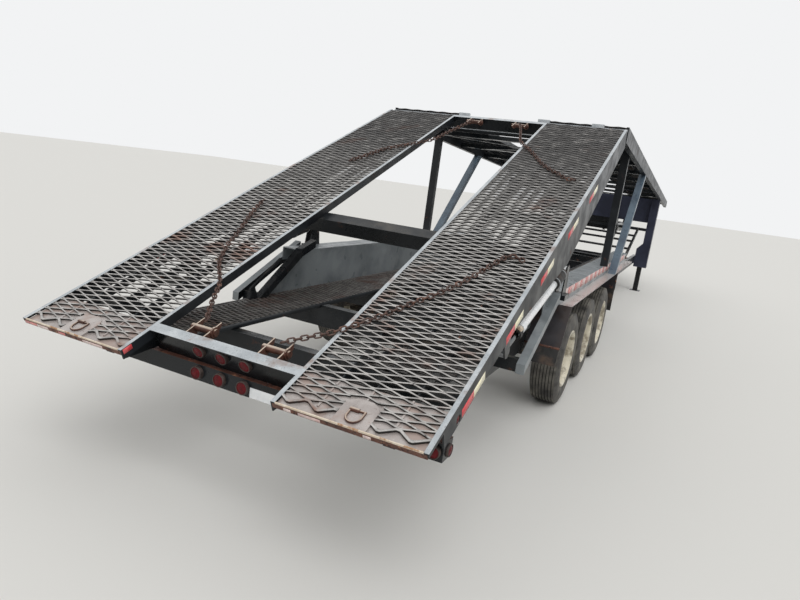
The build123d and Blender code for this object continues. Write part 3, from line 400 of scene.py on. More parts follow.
class RunwaySettings(bpy.types.PropertyGroup):
    """Raised expanded-metal grating: its openings and its strands."""

    opening_length: FloatProperty(
        name="Opening length",
        description="Long pitch of the diamonds, across the runway",
        default=0.1576,
        unit="LENGTH",
    )
    opening_height: FloatProperty(
        name="Opening height",
        description="Short pitch of the diamonds, along the runway",
        default=0.0540,
        unit="LENGTH",
    )
    bond_length: FloatProperty(
        name="Bond length",
        description="How far neighbouring strands run side by side where they meet",
        default=0.018,
        unit="LENGTH",
    )
    shift: FloatProperty(
        name="Shift", description="Place of one bond's middle across", default=0.013, unit="LENGTH"
    )
    strand_width: FloatProperty(
        name="Strand width", description="Width of one strand's top", default=0.0080, unit="LENGTH"
    )
    strand_depth: FloatProperty(
        name="Strand depth",
        description="Height of one strand's side",
        default=0.0110,
        unit="LENGTH",
    )
    strand_tilt: FloatProperty(
        name="Strand tilt",
        description="How far the strands are turned out of the plate",
        default=float(np.radians(12.0)),
        subtype="ANGLE",
    )


class ChainSettings(bpy.types.PropertyGroup):
    """Tie-down chain."""

    link_length: FloatProperty(
        name="Link length", description="Outer length of a link", default=0.054, unit="LENGTH"
    )
    link_width: FloatProperty(
        name="Link width", description="Outer width of a link", default=0.035, unit="LENGTH"
    )
    wire: FloatProperty(
        name="Wire", description="Diameter of a link's wire", default=0.0095, unit="LENGTH"
    )


class WheelSettings(bpy.types.PropertyGroup):
    """Tyres and wheels."""

    groove_depth: FloatProperty(
        name="Groove depth", description="Depth of the tread grooves", default=0.010, unit="LENGTH"
    )
    groove_width: FloatProperty(
        name="Groove width", description="Width of the tread grooves", default=0.008, unit="LENGTH"
    )
    hand_holes: IntProperty(
        name="Hand holes", description="Openings in each wheel disc", default=8, min=4, max=12
    )
    nuts: IntProperty(name="Nuts", description="Nuts on each hub", default=10, min=6, max=12)


class StageSettings(bpy.types.PropertyGroup):
    """Studio floor and light."""

    floor: FloatVectorProperty(
        name="Floor",
        description="Colour of the floor",
        subtype="COLOR",
        default=linear("#D9D8D4")[:3],
        min=0.0,
        max=1.0,
    )
    sky: FloatProperty(
        name="Sky",
        description="Strength of the soft light overhead, weaker lower down",
        default=0.95,
    )
    sun: FloatProperty(name="Sun", description="Strength of the soft light from above", default=1.2)


# ---------------------------------------------------------------- finishes


materials = {}
# road dirt on sheeting and plates
SOIL = Patch("#6B6259", 0.05, 0.58, 0.74, 0.6, most=0.7)
FINISHES = {
    # chassis enamel over mild steel: black, wet, with road dust on top faces
    "chassis": Finish(
        "black chassis enamel", ("#101315", "#1C1F22"), 0.5, (0.16, 0.42),
        (
            Patch("#6E675C", 0.35, 0.48, 0.72, 0.7, most=0.45, up=0.6),
            Patch("#4A3026", 0.12, 0.62, 0.72, 0.6),
        ),
        bump_size=0.012, specular=0.3,
    ),
    # rail enamel: near-black, duller than new
    "rail": Finish(
        "worn rail enamel", ("#15171A", "#23272B"), 0.4, (0.30, 0.50),
        (Patch("#5A3A2C", 0.16, 0.62, 0.72, 0.6),),
        bump_size=0.010, specular=0.3,
    ),
    # rail tops: rubbed through to pale steel by tyres, wet, and paler still as a painted reflection
    # of the sky
    "bare_and_sheen_top": Finish(
        "rubbed rail tops with painted sheen", ("#AAB0B4", "#C2C7CA"), 0.12, (0.18, 0.35),
        (
            Patch("#6A6C6C", 0.012, 0.58, 0.68, 0.4, most=0.7),
            Patch("#8A6F60", 0.20, 0.55, 0.70, 0.5, most=0.7),
        ),
        metallic=0.2, bump_size=0.006,
    ),
    # brace enamel: blue-grey, wet
    "brace": Finish("blue-grey brace enamel", ("#4C5A68", "#62727F"), 0.3, (0.25, 0.45)),
    # flattened mild-steel grating: wet, rubbed bright on top by tyres and paler still as a painted
    # reflection of the sky, rusting, and darker further up the deck as painted shade
    "grating": Finish(
        "rubbed grating tops with painted sheen and shade", ("#9C9996", "#C2BFBB"), 0.07, (0.25, 0.45),
        (
            Patch("#86604F", 0.45, 0.56, 0.70, 0.6, most=0.8),
            Patch("#4A4745", 0.03, 0.60, 0.70, 0.4),
            # painted shade further up the deck, carried by an attribute
            Patch("#2F2D2E", 0.10, 0.20, 0.52, 0.5, attribute="far_shade"),
        ),
        metallic=0.2, bump_size=0.005,
    ),
    # the same grating where no car has rubbed it: dull and dusty
    "grating_dull": Finish(
        "dull grating tops", ("#55514E", "#787470"), 0.07, (0.35, 0.60),
        (Patch("#5B4238", 0.30, 0.52, 0.68, 0.7, most=0.8),),
        bump_size=0.005,
    ),
    # cut faces of the grating: dark as painted shade, since they face away from the sky, with rust
    # patches
    "grating_shaded_side": Finish(
        "grating sides in painted shade", ("#171615", "#262422"), 0.07, (0.35, 0.55),
        (Patch("#44291F", 0.45, 0.54, 0.68, 0.7, most=0.8),),
        bump_size=0.005,
    ),
    # tail plate: steel worn smooth, made pale as a painted reflection of the sky on its wet face,
    # with pinkish rust film
    "tail_plate": Finish(
        "worn tail plate steel with painted sheen", ("#A59D99", "#B9B2AE"), 0.10, (0.15, 0.35),
        (
            Patch("#A8958C", 0.22, 0.46, 0.60, 0.4, most=0.9),
            Patch("#7A6A62", 0.02, 0.60, 0.70, 0.5, most=0.6),
        ),
        metallic=0.2,
    ),
    # upper edge of the tail lip: worn to a cream primer, tan where it rusts
    "tail_edge": Finish(
        "worn cream primer", ("#CDBBA4", "#E6DCCB"), 0.04, (0.35, 0.55),
        (Patch("#A9805C", 0.08, 0.52, 0.62, 0.6),),
    ),
    # forged chain steel: dark brown rust
    "chain": Finish(
        "rusted chain steel", ("#3D2A24", "#5E443A"), 0.03, (0.45, 0.70),
        (Patch("#86604F", 0.05, 0.56, 0.70, 0.7),),
        bump_size=0.003,
    ),
    # ratchet and ring steel: brown rust, with a pale painted highlight on the upper faces
    "ratchet": Finish(
        "rusted ratchet steel", ("#45291F", "#5E3B2E"), 0.05, (0.50, 0.75),
        (Patch("#BFAE9E", 0.05, 0.25, 0.45, 0.4, up=0.95),),
        bump_size=0.003,
    ),
    # hot-rolled steel left bare: red-brown scale with darker pits
    "rust": Finish(
        "rusted bare steel", ("#4E3026", "#6E4637"), 0.06, (0.45, 0.75),
        (
            Patch("#332421", 0.02, 0.52, 0.64, 0.8),
            Patch("#9A6B52", 0.05, 0.60, 0.72, 0.7),
        ),
        bump_size=0.003, bump_depth=0.0006,
    ),
    # carbon-black tyre rubber: grey-brown road dust on its ribs and its walls
    "tyre": Finish(
        "tyre rubber", ("#1F1E1E", "#2D2B2A"), 0.15, (0.50, 0.75),
        (Patch("#87837A", 0.16, 0.28, 0.78, 0.85, attribute="dust"),),
        bump_size=0.003, bump_depth=0.0004,
    ),
    # stoved wheel enamel: cream white with brown splashes
    "rim": Finish(
        "cream wheel enamel", ("#D3CCB8", "#E2DCCB"), 0.12, (0.25, 0.50),
        (
            Patch("#6E6350", 0.16, 0.47, 0.62, 0.7, most=0.75),
            Patch("#5E4030", 0.03, 0.62, 0.72, 0.7),
        ),
    ),
    # aluminium enamel on the cylinders: pale silver, pushed up to near white as a painted
    # highlight, with dirt streaks
    "barrel": Finish(
        "silver cylinder enamel", ("#F2F5F6", "#FEFEFE"), 0.2, (0.22, 0.38),
        (Patch("#8B8C8A", 0.05, 0.62, 0.76, 0.5),),
        metallic=0.1,
    ),
    # hard chrome under a dark oil film
    "chrome": Finish(
        "oiled hard chrome", ("#6A6D6F", "#84878A"), 0.3, (0.12, 0.28),
        metallic=1.0, bump_depth=0.00002,
    ),
    # EPDM rubber: matt black
    "rubber": Finish(
        "black flap rubber", ("#1B1A19", "#2B2826"), 0.12, (0.5, 0.75),
        (Patch("#54453A", 0.12, 0.45, 0.70, 0.85),),
        bump_depth=0.0004,
    ),
    # moulded acrylic lenses: deep red and amber, glossy
    "lens_red": Finish(
        "red acrylic lens", ("#4A060D", "#620A14"), 0.02, (0.30, 0.40),
        bump_size=0.006, specular=0.2,
    ),
    "lens_amber": Finish(
        "amber acrylic lens", ("#C9661A", "#D97A22"), 0.02, (0.20, 0.30),
        bump_size=0.006, coat=0.2,
    ),
    # rubber rings of the lamps: brown-grey with dust
    "lamp_ring": Finish("dusty lamp ring rubber", ("#2C2320", "#4B3F3A"), 0.03, (0.5, 0.7)),
    # retroreflective sheeting: flat plastic, slightly soiled
    "tape_red": Finish(
        "red reflective sheeting", ("#D9464A", "#E36164"), 0.05, (0.25, 0.40), (SOIL,)
    ),
    "tape_pale": Finish(
        "pale reflective sheeting", ("#FAF3CF", "#FFF9E0"), 0.05, (0.25, 0.40), (SOIL,)
    ),
    # older sheeting on the wheel boxes: faded to pink and pinkish white
    "tape_pink": Finish(
        "faded red sheeting", ("#C97673", "#DB9892"), 0.06, (0.25, 0.40), (SOIL,)
    ),
    "tape_faded": Finish(
        "faded reflective sheeting", ("#D9B7B2", "#E8D8D3"), 0.06, (0.25, 0.40), (SOIL,)
    ),
    # aluminium plate enamel: blank white
    "plate": Finish(
        "white plate enamel", ("#DDE0E2", "#ECEEEF"), 0.08, (0.25, 0.40),
        (SOIL._replace(most=0.3),),
    ),
    # road-soaked undercarriage iron: brown-black with dried mud
    "running_gear": Finish(
        "dusty running-gear iron", ("#211F1D", "#2F2B27"), 0.2, (0.45, 0.70),
        (
            Patch("#5C5347", 0.12, 0.48, 0.68, 0.85),
            Patch("#5A3A2B", 0.06, 0.60, 0.70, 0.8),
        ),
        bump_size=0.006, bump_depth=0.0005,
    ),
    # fender steel: the black enamel long gone, soaked rust and dust, with pale patches on the
    # upward faces as a painted reflection of the sky on the wet top
    "fender": Finish(
        "worn fender enamel with painted sheen", ("#332927", "#262429"), 0.18, (0.30, 0.55),
        (
            Patch("#7B4A36", 0.10, 0.62, 0.72, 0.7, most=0.7),
            Patch("#C6BFBB", 0.20, 0.22, 0.46, 0.15, up=0.9),
        ),
        bump_size=0.006, bump_depth=0.0004,
    ),
    # grey primer panel of the wheel boxes
    "panel": Finish(
        "weathered grey panel enamel", ("#6E7477", "#8A9093"), 0.35, (0.25, 0.50),
        (Patch("#9A9FA1", 0.25, 0.50, 0.70, 0.4, most=0.6),),
        bump_size=0.012,
    ),
    # bulkhead enamel: dark navy
    "navy": Finish(
        "navy bulkhead enamel", ("#262938", "#34384A"), 0.4, (0.30, 0.50), specular=0.3
    ),
    # zinc plating on fittings: dull light grey
    "zinc": Finish(
        "zinc-plated steel", ("#8F9294", "#B1B4B5"), 0.02, (0.28, 0.45), metallic=0.8
    ),
}
# the carried-over steel that wears each finish
WEARING = {
    "rail": """rear_side_rails front_side_rails rear_stringers front_stringers peak_beam
        deck_posts""",
    "brace": "deck_braces",
    "chassis": """main_rails lower_cross_members front_ladder rear_cross_beams
        front_cross_beams deck_lacing deck_channels tail_bumper step_rails box_guards
        cylinder_mounts landing_legs neck_frame coupler_plate hydraulic_box deck_brackets""",
    "navy": "bulkhead risers",
    "panel": "wheel_boxes",
    "fender": "fenders",
    "rubber": "mud_flaps",
    "ratchet": "chain_ratchets",
    "running_gear": "axles leaf_springs spring_hangers kingpin",
    "barrel": "lift_barrel_left lift_barrel_right",
    "chrome": "lift_rod_left lift_rod_right",
    "plate": "number_plate",
}


LOOKS_UP = 0.7
INNER_RAIL_EDGE, OUTER_RAIL_EDGE, CREST_HEIGHT = 0.52, 1.26, 2.59


def upward_tops(normals, middles):
    """Picks the faces that look up, but not those of the ribs under the runways."""
    across = np.abs(middles[:, 0])
    beside = (across < INNER_RAIL_EDGE) | (across > OUTER_RAIL_EDGE)
    return (normals[:, 2] > LOOKS_UP) & beside


def crest_faces(normals, middles):
    """Picks the faces of the crest that look up or stand above the rear deck."""
    return (normals[:, 2] > LOOKS_UP) | (middles[:, 2] > CREST_HEIGHT)


def beside_boxes(normals, middles):
    """Picks the faces that lie outside of the wheel boxes' walls."""
    return np.abs(middles[:, 0]) > BOX_WALL + 0.5 * MM


def second_finish(mesh, material, test):
    """Puts a second material on the faces that a test of their normals and
    middles picks."""
    mesh.materials.append(material)
    normals, middles = np.empty((2, len(mesh.polygons), 3))
    mesh.polygons.foreach_get("normal", normals.reshape(-1))
    mesh.polygons.foreach_get("center", middles.reshape(-1))
    chosen = test(normals, middles).astype(np.int32)
    mesh.polygons.foreach_set("material_index", chosen)


# steel with a second finish on the faces that a test picks; the bare tops are rubbed steel, paler
# still as a painted reflection of the sky
TWO_FINISH_STEEL = (
    (
        "rear_side_rails front_side_rails rear_stringers front_stringers deck_channels",
        "bare_and_sheen_top",
        upward_tops,
    ),
    ("tail_bumper", "rust", upward_tops),
    ("peak_beam", "bare_and_sheen_top", crest_faces),
    ("step_rails", "panel", beside_boxes),
)


class TRAILER_OT_finishes(bpy.types.Operator):
    """Makes the finishes and puts them on the carried-over steel"""

    bl_idname = "trailer.finishes"
    bl_label = "Finishes"

    def execute(self, context):
        for key, finish in FINISHES.items():
            materials[key] = finish_material(finish)
        for key, names in WEARING.items():
            for name in names.split():
                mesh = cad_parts[name].data
                mesh.materials.clear()
                mesh.materials.append(materials[key])
        for names, key, test in TWO_FINISH_STEEL:
            for name in names.split():
                second_finish(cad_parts[name].data, materials[key], test)
        return {"FINISHED"}


# ---------------------------------------------------------------- runways


# from a runway's end to the middle of its first strand
END_GAP = 0.014


def strands(deck, low, high, start, count, settings, first=0, edge=False):
    """Strands of raised expanded metal between two x limits.

    Strand k lies at start + k * height / 2. It runs in straight flanks between
    short bonds half an opening's length apart, the other way on every second
    strand, so that neighbours meet in the bonds. Its section is a rectangle
    turned out of the plate, and it rises and falls against its swing so that
    the two halves of a bond lie in one turned plate. The sheet's sheared edge
    is one flat strand as wide as a bond."""
    length, height = settings.opening_length, settings.opening_height
    width, thick, tilt = settings.strand_width, settings.strand_depth, settings.strand_tilt
    swing = (height / 2 - width * np.cos(tilt)) / 2
    if edge:
        width, swing, tilt = 2 * width, 2 * swing, 0.0
    lift = width * np.sin(tilt) / 2
    margin = 2 * MM
    turns = np.arange(np.floor(2 * low / length) - 1, np.ceil(2 * high / length) + 2)
    ends = np.array([-settings.bond_length / 2, settings.bond_length / 2])
    knots = ((turns * length / 2 + settings.shift)[:, None] + ends).reshape(-1)
    wave = np.repeat(np.where(turns % 2, -1.0, 1.0), 2)
    inner = knots[(knots > low + margin) & (knots < high - margin)]
    x = np.concatenate([[low], inner, [high]])
    number = np.arange(first, first + count)[:, None, None]
    phase = np.where(number % 2, -1.0, 1.0) * np.interp(x, knots, wave)[None, :, None]
    x = x[None, :, None]
    half = np.array([[-1, -1], [1, -1], [1, 1], [-1, 1]]) * [width / 2, thick / 2]
    run = half[:, 0] * np.cos(tilt) - half[:, 1] * np.sin(tilt)
    rise = half[:, 0] * np.sin(tilt) + half[:, 1] * np.cos(tilt)
    depth = lift + width / 2 * np.sin(tilt) + thick / 2 * np.cos(tilt)
    s = start + (number - first) * height / 2 + swing * phase + run
    n = -depth - lift * phase + rise
    flat = np.stack(np.broadcast_arrays(x, s, n), axis=-1)
    columns = flat.shape[1]
    tube = ring_faces(columns, 4, closed_columns=True).reshape(-1, 4, 4)
    caps = np.array([[0, 1, 2, 3], [4 * columns - corner for corner in (1, 2, 3, 4)]])
    rest = np.concatenate([tube[:, [0, 1, 3]].reshape(-1, 4), caps])
    shift = np.arange(count)[:, None, None] * 4 * columns
    tops, sides = ((part[None] + shift).reshape(-1, 4) for part in (tube[:, 2], rest))
    return deck.place(flat).reshape(-1, 3), tops, sides


def grating(layers, key="grating"):
    """Layers for make_piece: the strands' rubbed tops, and their sides in a dark finish that paints
    their shade.
    """
    points, tops = join(*((points, tops) for points, tops, _ in layers))
    sides = join(*((points, sides) for points, _, sides in layers))[1]
    return [(points, tops, materials[key]), (np.zeros((0, 3)), sides, materials["grating_shaded_side"])]


class TRAILER_OT_rear_runways(bpy.types.Operator):
    """Lays the expanded-metal runways of the lowered rear deck"""

    bl_idname = "trailer.rear_runways"
    bl_label = "Rear runways"

    def execute(self, context):
        settings = context.scene.trailer_runways
        pitch = settings.opening_height / 2
        # s of the sheared edge and of the first strand, and the gap at the peak
        edge, tail, peak_gap = 0.058, 0.0955, 0.012
        # the first strands leave room for the ring plate
        ring_inner, ring_outer, short = 0.810, 0.990, 4
        # the painted shade deepens from a station forwards, up to a greatest share
        fade_start, fade_length, deepest_shade = 1.6, 2.4, 0.8
        start = tail + short * pitch
        rest = int((REAR.length - peak_gap - start) / pitch) + 1
        for end, side in SIDES.items():
            low, high = span(side, RUNWAY_INNER, RUNWAY_OUTER)
            ring_low, ring_high = span(side, ring_inner, ring_outer)
            layers = [strands(REAR, low, high, start, rest, settings, first=short + 1)]
            for ends in ((low, ring_low), (ring_high, high)):
                layers.append(strands(REAR, *ends, edge, 1, settings, edge=True))
                layers.append(strands(REAR, *ends, tail, short, settings, first=1))
            layers = grating(layers)
            # painted shade: the strands are darker further up the deck
            past = layers[0][0][:, 1] - station(fade_start)
            far_shade = np.clip(past / fade_length, 0.0, deepest_shade)
            make_piece(
                f"rear_mesh_{end}",
                layers,
                "rear_deck",
                [f"rear_runway_{end}"],
                attribute=("far_shade", far_shade),
            )
        return {"FINISHED"}


class TRAILER_OT_front_runways(bpy.types.Operator):
    """Lays the expanded-metal runways of the fixed front deck"""

    bl_idname = "trailer.front_runways"
    bl_label = "Front runways"

    def execute(self, context):
        settings = context.scene.trailer_runways
        count = int((FRONT.length - 2 * END_GAP) / (settings.opening_height / 2)) + 1
        layers = []
        for side in SIDES.values():
            across = span(side, RUNWAY_INNER, RUNWAY_OUTER)
            layers.append(strands(FRONT, *across, END_GAP, count, settings))
        make_piece(
            "front_mesh", grating(layers, "grating_dull"), "frame", ["front_runways"]
        )
        return {"FINISHED"}


class TRAILER_OT_lower_runways(bpy.types.Operator):
    """Lays the runways of the lower deck, each with its kerb"""

    bl_idname = "trailer.lower_runways"
    bl_label = "Lower runways"

    def execute(self, context):
        settings = context.scene.trailer_runways
        low_box, high_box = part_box("lower_runways")
        start = low_box.y - TAIL_Y + END_GAP
        reach = high_box.y - low_box.y - 2 * END_GAP
        count = int(reach / (settings.opening_height / 2)) + 1
        kerb_heights = (0.7765, 0.812)
        layers, kerbs = [], []
        for side in SIDES.values():
            across = span(side, LIP_INNER, high_box.x)
            layers.append(strands(LOWER, *across, start, count, settings))
            kerb = span(side, RAIL_INNER, LIP_INNER)
            kerbs.append([kerb, (low_box.y, high_box.y), kerb_heights])
        make_piece(
            "lower_mesh",
            [*grating(layers, "grating_dull"), (*boxes(kerbs), materials["rail"])],
            "frame",
            ["lower_runways"],
        )
        return {"FINISHED"}


# ---------------------------------------------------------------- chains


# x and s of the corners of each chain's way over the rear deck
CHAIN_ROUTES = (
    (
        (-0.225, 0.365), (-0.44, 0.72), (-0.623, 0.921),
        (-0.755, 1.176), (-0.885, 1.511), (-1.012, 1.907),
    ),
    (
        (0.266, 0.365), (0.471, 0.543), (0.722, 0.94),
        (0.844, 1.133), (1.071, 1.73), (1.187, 1.671),
    ),
    ((-0.225, 4.447), (-0.35, 3.701), (-0.487, 3.53), (-0.684, 3.281), (-0.842, 2.87)),
    ((0.266, 4.447), (0.463, 3.873), (0.835, 3.345), (1.085, 3.086), (1.168, 3.115)),
)


def bent_wire(centre, outward, wire, sides):
    """A wire of round section along a closed flat path, given with the directions
    that point out of its bends: centre + outward * wire / 2 * cos a, and wire / 2
    * sin a above the path's plane."""
    around = np.linspace(0.0, 2 * np.pi, sides, endpoint=False)[None, :]
    flat = centre[:, None] + outward[:, None] * (wire / 2 * np.cos(around))[..., None]
    lift = np.broadcast_to(wire / 2 * np.sin(around), flat.shape[:2])
    points = np.concatenate([flat, lift[..., None]], axis=-1).reshape(-1, 3)
    return points, ring_faces(len(centre), sides, closed_rows=True, closed_columns=True)


def chain_link(length, width, wire):
    """One link: an oval of two straights and two half circles, in the plane of
    the first two coordinates."""
    path_steps, ring_steps = 12, 6
    bend = (width - wire) / 2
    straight = (length - width) / 2
    angle = np.linspace(-np.pi / 2, 3 * np.pi / 2, path_steps, endpoint=False)
    angle = angle + np.pi / path_steps
    outward = np.stack([np.cos(angle), np.sin(angle)], axis=-1)
    shift = np.where(np.cos(angle) > 0, straight, -straight)
    centre = outward * bend + np.stack([shift, 0 * shift], axis=-1)
    return bent_wire(centre, outward, wire, ring_steps)


def smooth_route(route, pitch):
    """Points a pitch apart along a route whose corners are rounded by a moving
    average, swayed sideways by the sine of the way along it."""
    sway, sway_length, samples, window = 0.006, 0.11, 400, 31
    route = np.asarray(route, float)
    lengths = np.concatenate([[0.0], np.cumsum(np.hypot(*np.diff(route, axis=0).T))])
    fine = np.linspace(0.0, lengths[-1], samples)
    line = np.stack([np.interp(fine, lengths, route[:, axis]) for axis in range(2)], axis=-1)
    padded = np.pad(line, ((window // 2, window // 2), (0, 0)), "edge")
    kernel = np.ones(window) / window
    line = np.stack([np.convolve(padded[:, axis], kernel, "valid") for axis in range(2)], axis=-1)
    step = np.gradient(line, axis=0)
    step /= np.linalg.norm(step, axis=1, keepdims=True) + 1e-9
    swing = sway * np.sin(fine / sway_length)[:, None]
    line = line + np.stack([-step[:, 1], step[:, 0]], axis=-1) * swing
    lengths = np.concatenate([[0.0], np.cumsum(np.hypot(*np.diff(line, axis=0).T))])
    at = np.arange(0.0, lengths[-1], pitch)
    return np.stack([np.interp(at, lengths, line[:, axis]) for axis in range(2)], axis=-1)


class TRAILER_OT_chains(bpy.types.Operator):
    """Lays the four tie-down chains on the rear deck"""

    bl_idname = "trailer.chains"
    bl_label = "Tie-down chains"

    def execute(self, context):
        settings = context.scene.trailer_chains
        link = chain_link(settings.link_length, settings.link_width, settings.wire)
        pitch = settings.link_length - 2 * settings.wire
        lean_angle, above = np.radians(45.0), 0.0165
        places = []
        for route in CHAIN_ROUTES:
            line = smooth_route(route, pitch)
            middle = (line[1:] + line[:-1]) / 2
            step = np.diff(line, axis=0)
            heading = np.arctan2(step[:, 1], step[:, 0])
            roll = np.where(np.arange(len(middle)) % 2, 1.0, -1.0) * lean_angle
            for (x, s), turn, lean in zip(middle, heading, roll):
                flat = Matrix.Rotation(turn, 3, "Z") @ Matrix.Rotation(lean, 3, "X")
                whole = np.eye(4)
                whole[:3, :3] = REAR.turn() @ np.array(flat)
                whole[:3, 3] = REAR.place((x, s, above))
                places.append(whole)
        layer = (*repeat(*link, places), materials["chain"])
        make_piece("chains", [layer], "rear_deck", ["tie_chains"], smooth=60.0)
        return {"FINISHED"}


# ---------------------------------------------------------------- tail plates


def lashing_ring(middle):
    """A D-shaped ring that lies on its plate, held by a short sleeve: half a
    circle whose ends run straight on to two corners."""
    wire, bend, straight, way, above = 0.011, 0.038, 0.038, 0.066, 0.0035
    sleeve_radius, sleeve_half, sleeve_place = 0.0105, 0.024, (middle - 0.017, 0.104, 0.003)
    angle = np.linspace(-np.pi, 0.0, 15)
    half = np.stack([np.cos(angle), np.sin(angle)], axis=-1)
    corners = np.array([[1.0, 1.0], [-1.0, 1.0]])
    centre = np.concatenate([half * bend, corners * [bend, straight]]) + [middle, way]
    points, faces = bent_wire(centre, np.concatenate([half, corners]), wire, 10)
    points[:, 2] += above
    profile = collar(0.0, sleeve_radius, -sleeve_half, sleeve_half)
    sleeve = turned(profile, 16, facing((1, 0, 0)), REAR.place(sleeve_place), False)
    return join((REAR.place(points), faces), sleeve)


class TRAILER_OT_tail_plates(bpy.types.Operator):
    """Makes the plates at the tail with their lips and lashing rings"""

    bl_idname = "trailer.tail_plates"
    bl_label = "Tail plates"

    def execute(self, context):
        plates, lips, edges, rings = [], [], [], []
        ribs = (0.700, 0.892, 1.090)
        # x and s of the ring plate's corners, with its arched head
        outline = np.array(
            [
                (0.810, 0.006), (0.810, 0.136), (0.826, 0.163), (0.862, 0.184),
                (0.938, 0.184), (0.974, 0.163), (0.990, 0.136), (0.990, 0.006),
            ]
        )
        count, ring_middle = len(outline), 0.9
        # n of the plate's faces and of the tops of the ring plate and the ribs, then
        # the x and n limits of the lip and of the worn edge over it
        bottom, top, ring_top, rib_top = -0.020, -0.014, -0.002, -0.0078
        lip_outer, lip_bottom, edge_bottom = 1.287, -0.035, -0.009
        walls = ring_faces(2, count, closed_columns=True)
        cover = np.arange(count, 2 * count)[None]
        for side in SIDES.values():
            across = span(side, RUNWAY_INNER, RUNWAY_OUTER)
            rows = [[across, (0.006, 0.275), (bottom, top)]]
            for rib in ribs:
                rows.append([span(side, rib - 0.001, rib + 0.009), (0.069, 0.275), (top, rib_top)])
            plates.append(boxes(rows))
            layer = [np.c_[outline * (side, 1.0), np.full(count, n)] for n in (top, ring_top)]
            plates.append((np.concatenate(layer), [walls, cover]))
            lips.append([span(side, LIP_INNER, lip_outer), (0.0, 0.008), (lip_bottom, edge_bottom)])
            edges.append([across, (0.0, 0.006), (edge_bottom, 0.0)])
            rings.append(lashing_ring(side * ring_middle))
        plates = [(REAR.place(points), faces) for points, faces in plates]
        lips, edges = ((REAR.place(points), faces) for points, faces in (boxes(lips), boxes(edges)))
        make_piece(
            "tail_ends",
            [
                (*join(*plates), materials["tail_plate"]),
                (*lips, materials["rust"]),
                (*edges, materials["tail_edge"]),
                (*join(*rings), materials["ratchet"]),
            ],
            "rear_deck",
            ["tail_plates"],
            weld=True,
            smooth=35.0,
        )
        return {"FINISHED"}


# ---------------------------------------------------------------- wheels


def tyre_mesh(settings):
    """A tyre about the z axis, with how dusty each of its points is. Its walls
    bulge as a sine of the way from bead to shoulder, with one sunk ring, and its
    tread falls as the square of the way out from its middle, with sunk grooves.
    The dust is thickest on the tread's ribs and thinnest in its grooves."""
    bead, shoulder, half, ring_depth = 0.2535, 0.4235, 0.131, 0.0015
    groove_count, groove_span, tread_half = 7, 0.084, 0.100
    crown, crown_half = 0.006, 0.107
    segments = 96
    way = np.linspace(0.0, 1.0, 12)
    wall_r = bead + (shoulder - bead) * way
    wall_w = half * (0.82 + 0.18 * np.sin(np.pi * np.clip(way * 1.05, 0, 1)) ** 0.8)
    step = np.where((way > 0.30) & (way < 0.36), -ring_depth, 0.0)
    grooves = np.linspace(-groove_span, groove_span, groove_count)
    edge = settings.groove_width / 2
    offsets = np.array([-edge, -edge * 0.7, edge * 0.7, edge])
    corners = (grooves[:, None] + offsets).reshape(-1)
    tread_w = np.sort(np.concatenate([corners, [-tread_half, tread_half]]))
    inside = (np.abs(tread_w[:, None] - grooves[None]) < edge * 0.8).any(axis=1)
    tread_r = TYRE_RADIUS - crown * (tread_w / crown_half) ** 2 - settings.groove_depth * inside
    radius = np.concatenate([wall_r, tread_r, wall_r[::-1]])
    height = np.concatenate([-(wall_w + step), tread_w, (wall_w + step)[::-1]])
    dust = np.concatenate([0.50 + 0.3 * (1 - way), 1.1 - 0.8 * inside, 0.50 + 0.3 * way])
    points, faces = turned(np.stack([radius, height], axis=-1), segments)
    return points, faces, np.tile(dust, segments)


def disc_mesh(holes):
    """A wheel disc with round hand holes. Each hole has a sector of the disc,
    and a point slides from the hole's edge to the sector's edge and back
    underneath. The disc rises as the square of the way from its hub to its rim."""
    inner, outer, thick, seat, rise = 0.158, 0.2265, 0.010, -0.046, 0.020
    around, across = 32, 8
    middle = (inner + outer) / 2
    half_angle, half_width = np.pi / holes, (outer - inner) / 2
    hole_angle, hole_width = 0.030 / middle, 0.024
    angle = np.linspace(0.0, 2 * np.pi, around, endpoint=False)[None, :, None]
    stretch = 1.0 / np.maximum(np.abs(np.cos(angle)), np.abs(np.sin(angle)))
    share = np.array([1.0, 0.6, 0.25, 0.0, 0.0, 0.25, 0.6, 1.0])[None, None, :]
    under = np.array([0, 0, 0, 0, 1, 1, 1, 1])[None, None, :]
    sector = np.arange(holes)[:, None, None] * 2 * half_angle
    turn = sector + np.cos(angle) * (hole_angle * (1 - share) + half_angle * stretch * share)
    radius = middle + np.sin(angle) * (hole_width * (1 - share) + half_width * stretch * share)
    depth = seat + rise * np.clip((radius - inner) / (outer - inner), 0, 1) ** 2
    points = np.stack(
        np.broadcast_arrays(radius * np.cos(turn), radius * np.sin(turn), depth - thick * under),
        axis=-1,
    )
    faces = ring_faces(around, across, closed_rows=True)
    shift = np.arange(holes)[:, None, None] * around * across
    return points.reshape(-1, 3), (faces[None] + shift).reshape(-1, 4)


# radius and height of the corners of the rim's barrel and of the hub
BARREL = (
    (0.262, 0.1135), (0.270, 0.1150), (0.270, 0.1200), (0.266, 0.1225), (0.258, 0.1215),
    (0.248, 0.1150), (0.240, 0.1040), (0.234, 0.0700), (0.2275, 0.0100), (0.2265, -0.0260),
    (0.2265, -0.0360), (0.232, -0.0800), (0.240, -0.1100), (0.256, -0.1220), (0.266, -0.1220),
    (0.270, -0.1190), (0.270, -0.1140), (0.253, -0.1080), (0.2535, -0.0850), (0.238, -0.0600),
    (0.236, 0.0300), (0.248, 0.0850), (0.253, 0.1050),
)
HUB = (
    (0.158, -0.0460), (0.112, -0.0460), (0.110, -0.0440), (0.1095, 0.0220), (0.106, 0.0275),
    (0.080, 0.0310), (0.078, 0.0340), (0.078, 0.0400), (0.074, 0.0430), (0.070, 0.0440),
    (0.069, 0.0700), (0.064, 0.0780), (0.052, 0.0800), (0.048, 0.0770), (0.0, 0.0770),
    (0.0, -0.0560), (0.158, -0.0560),
)


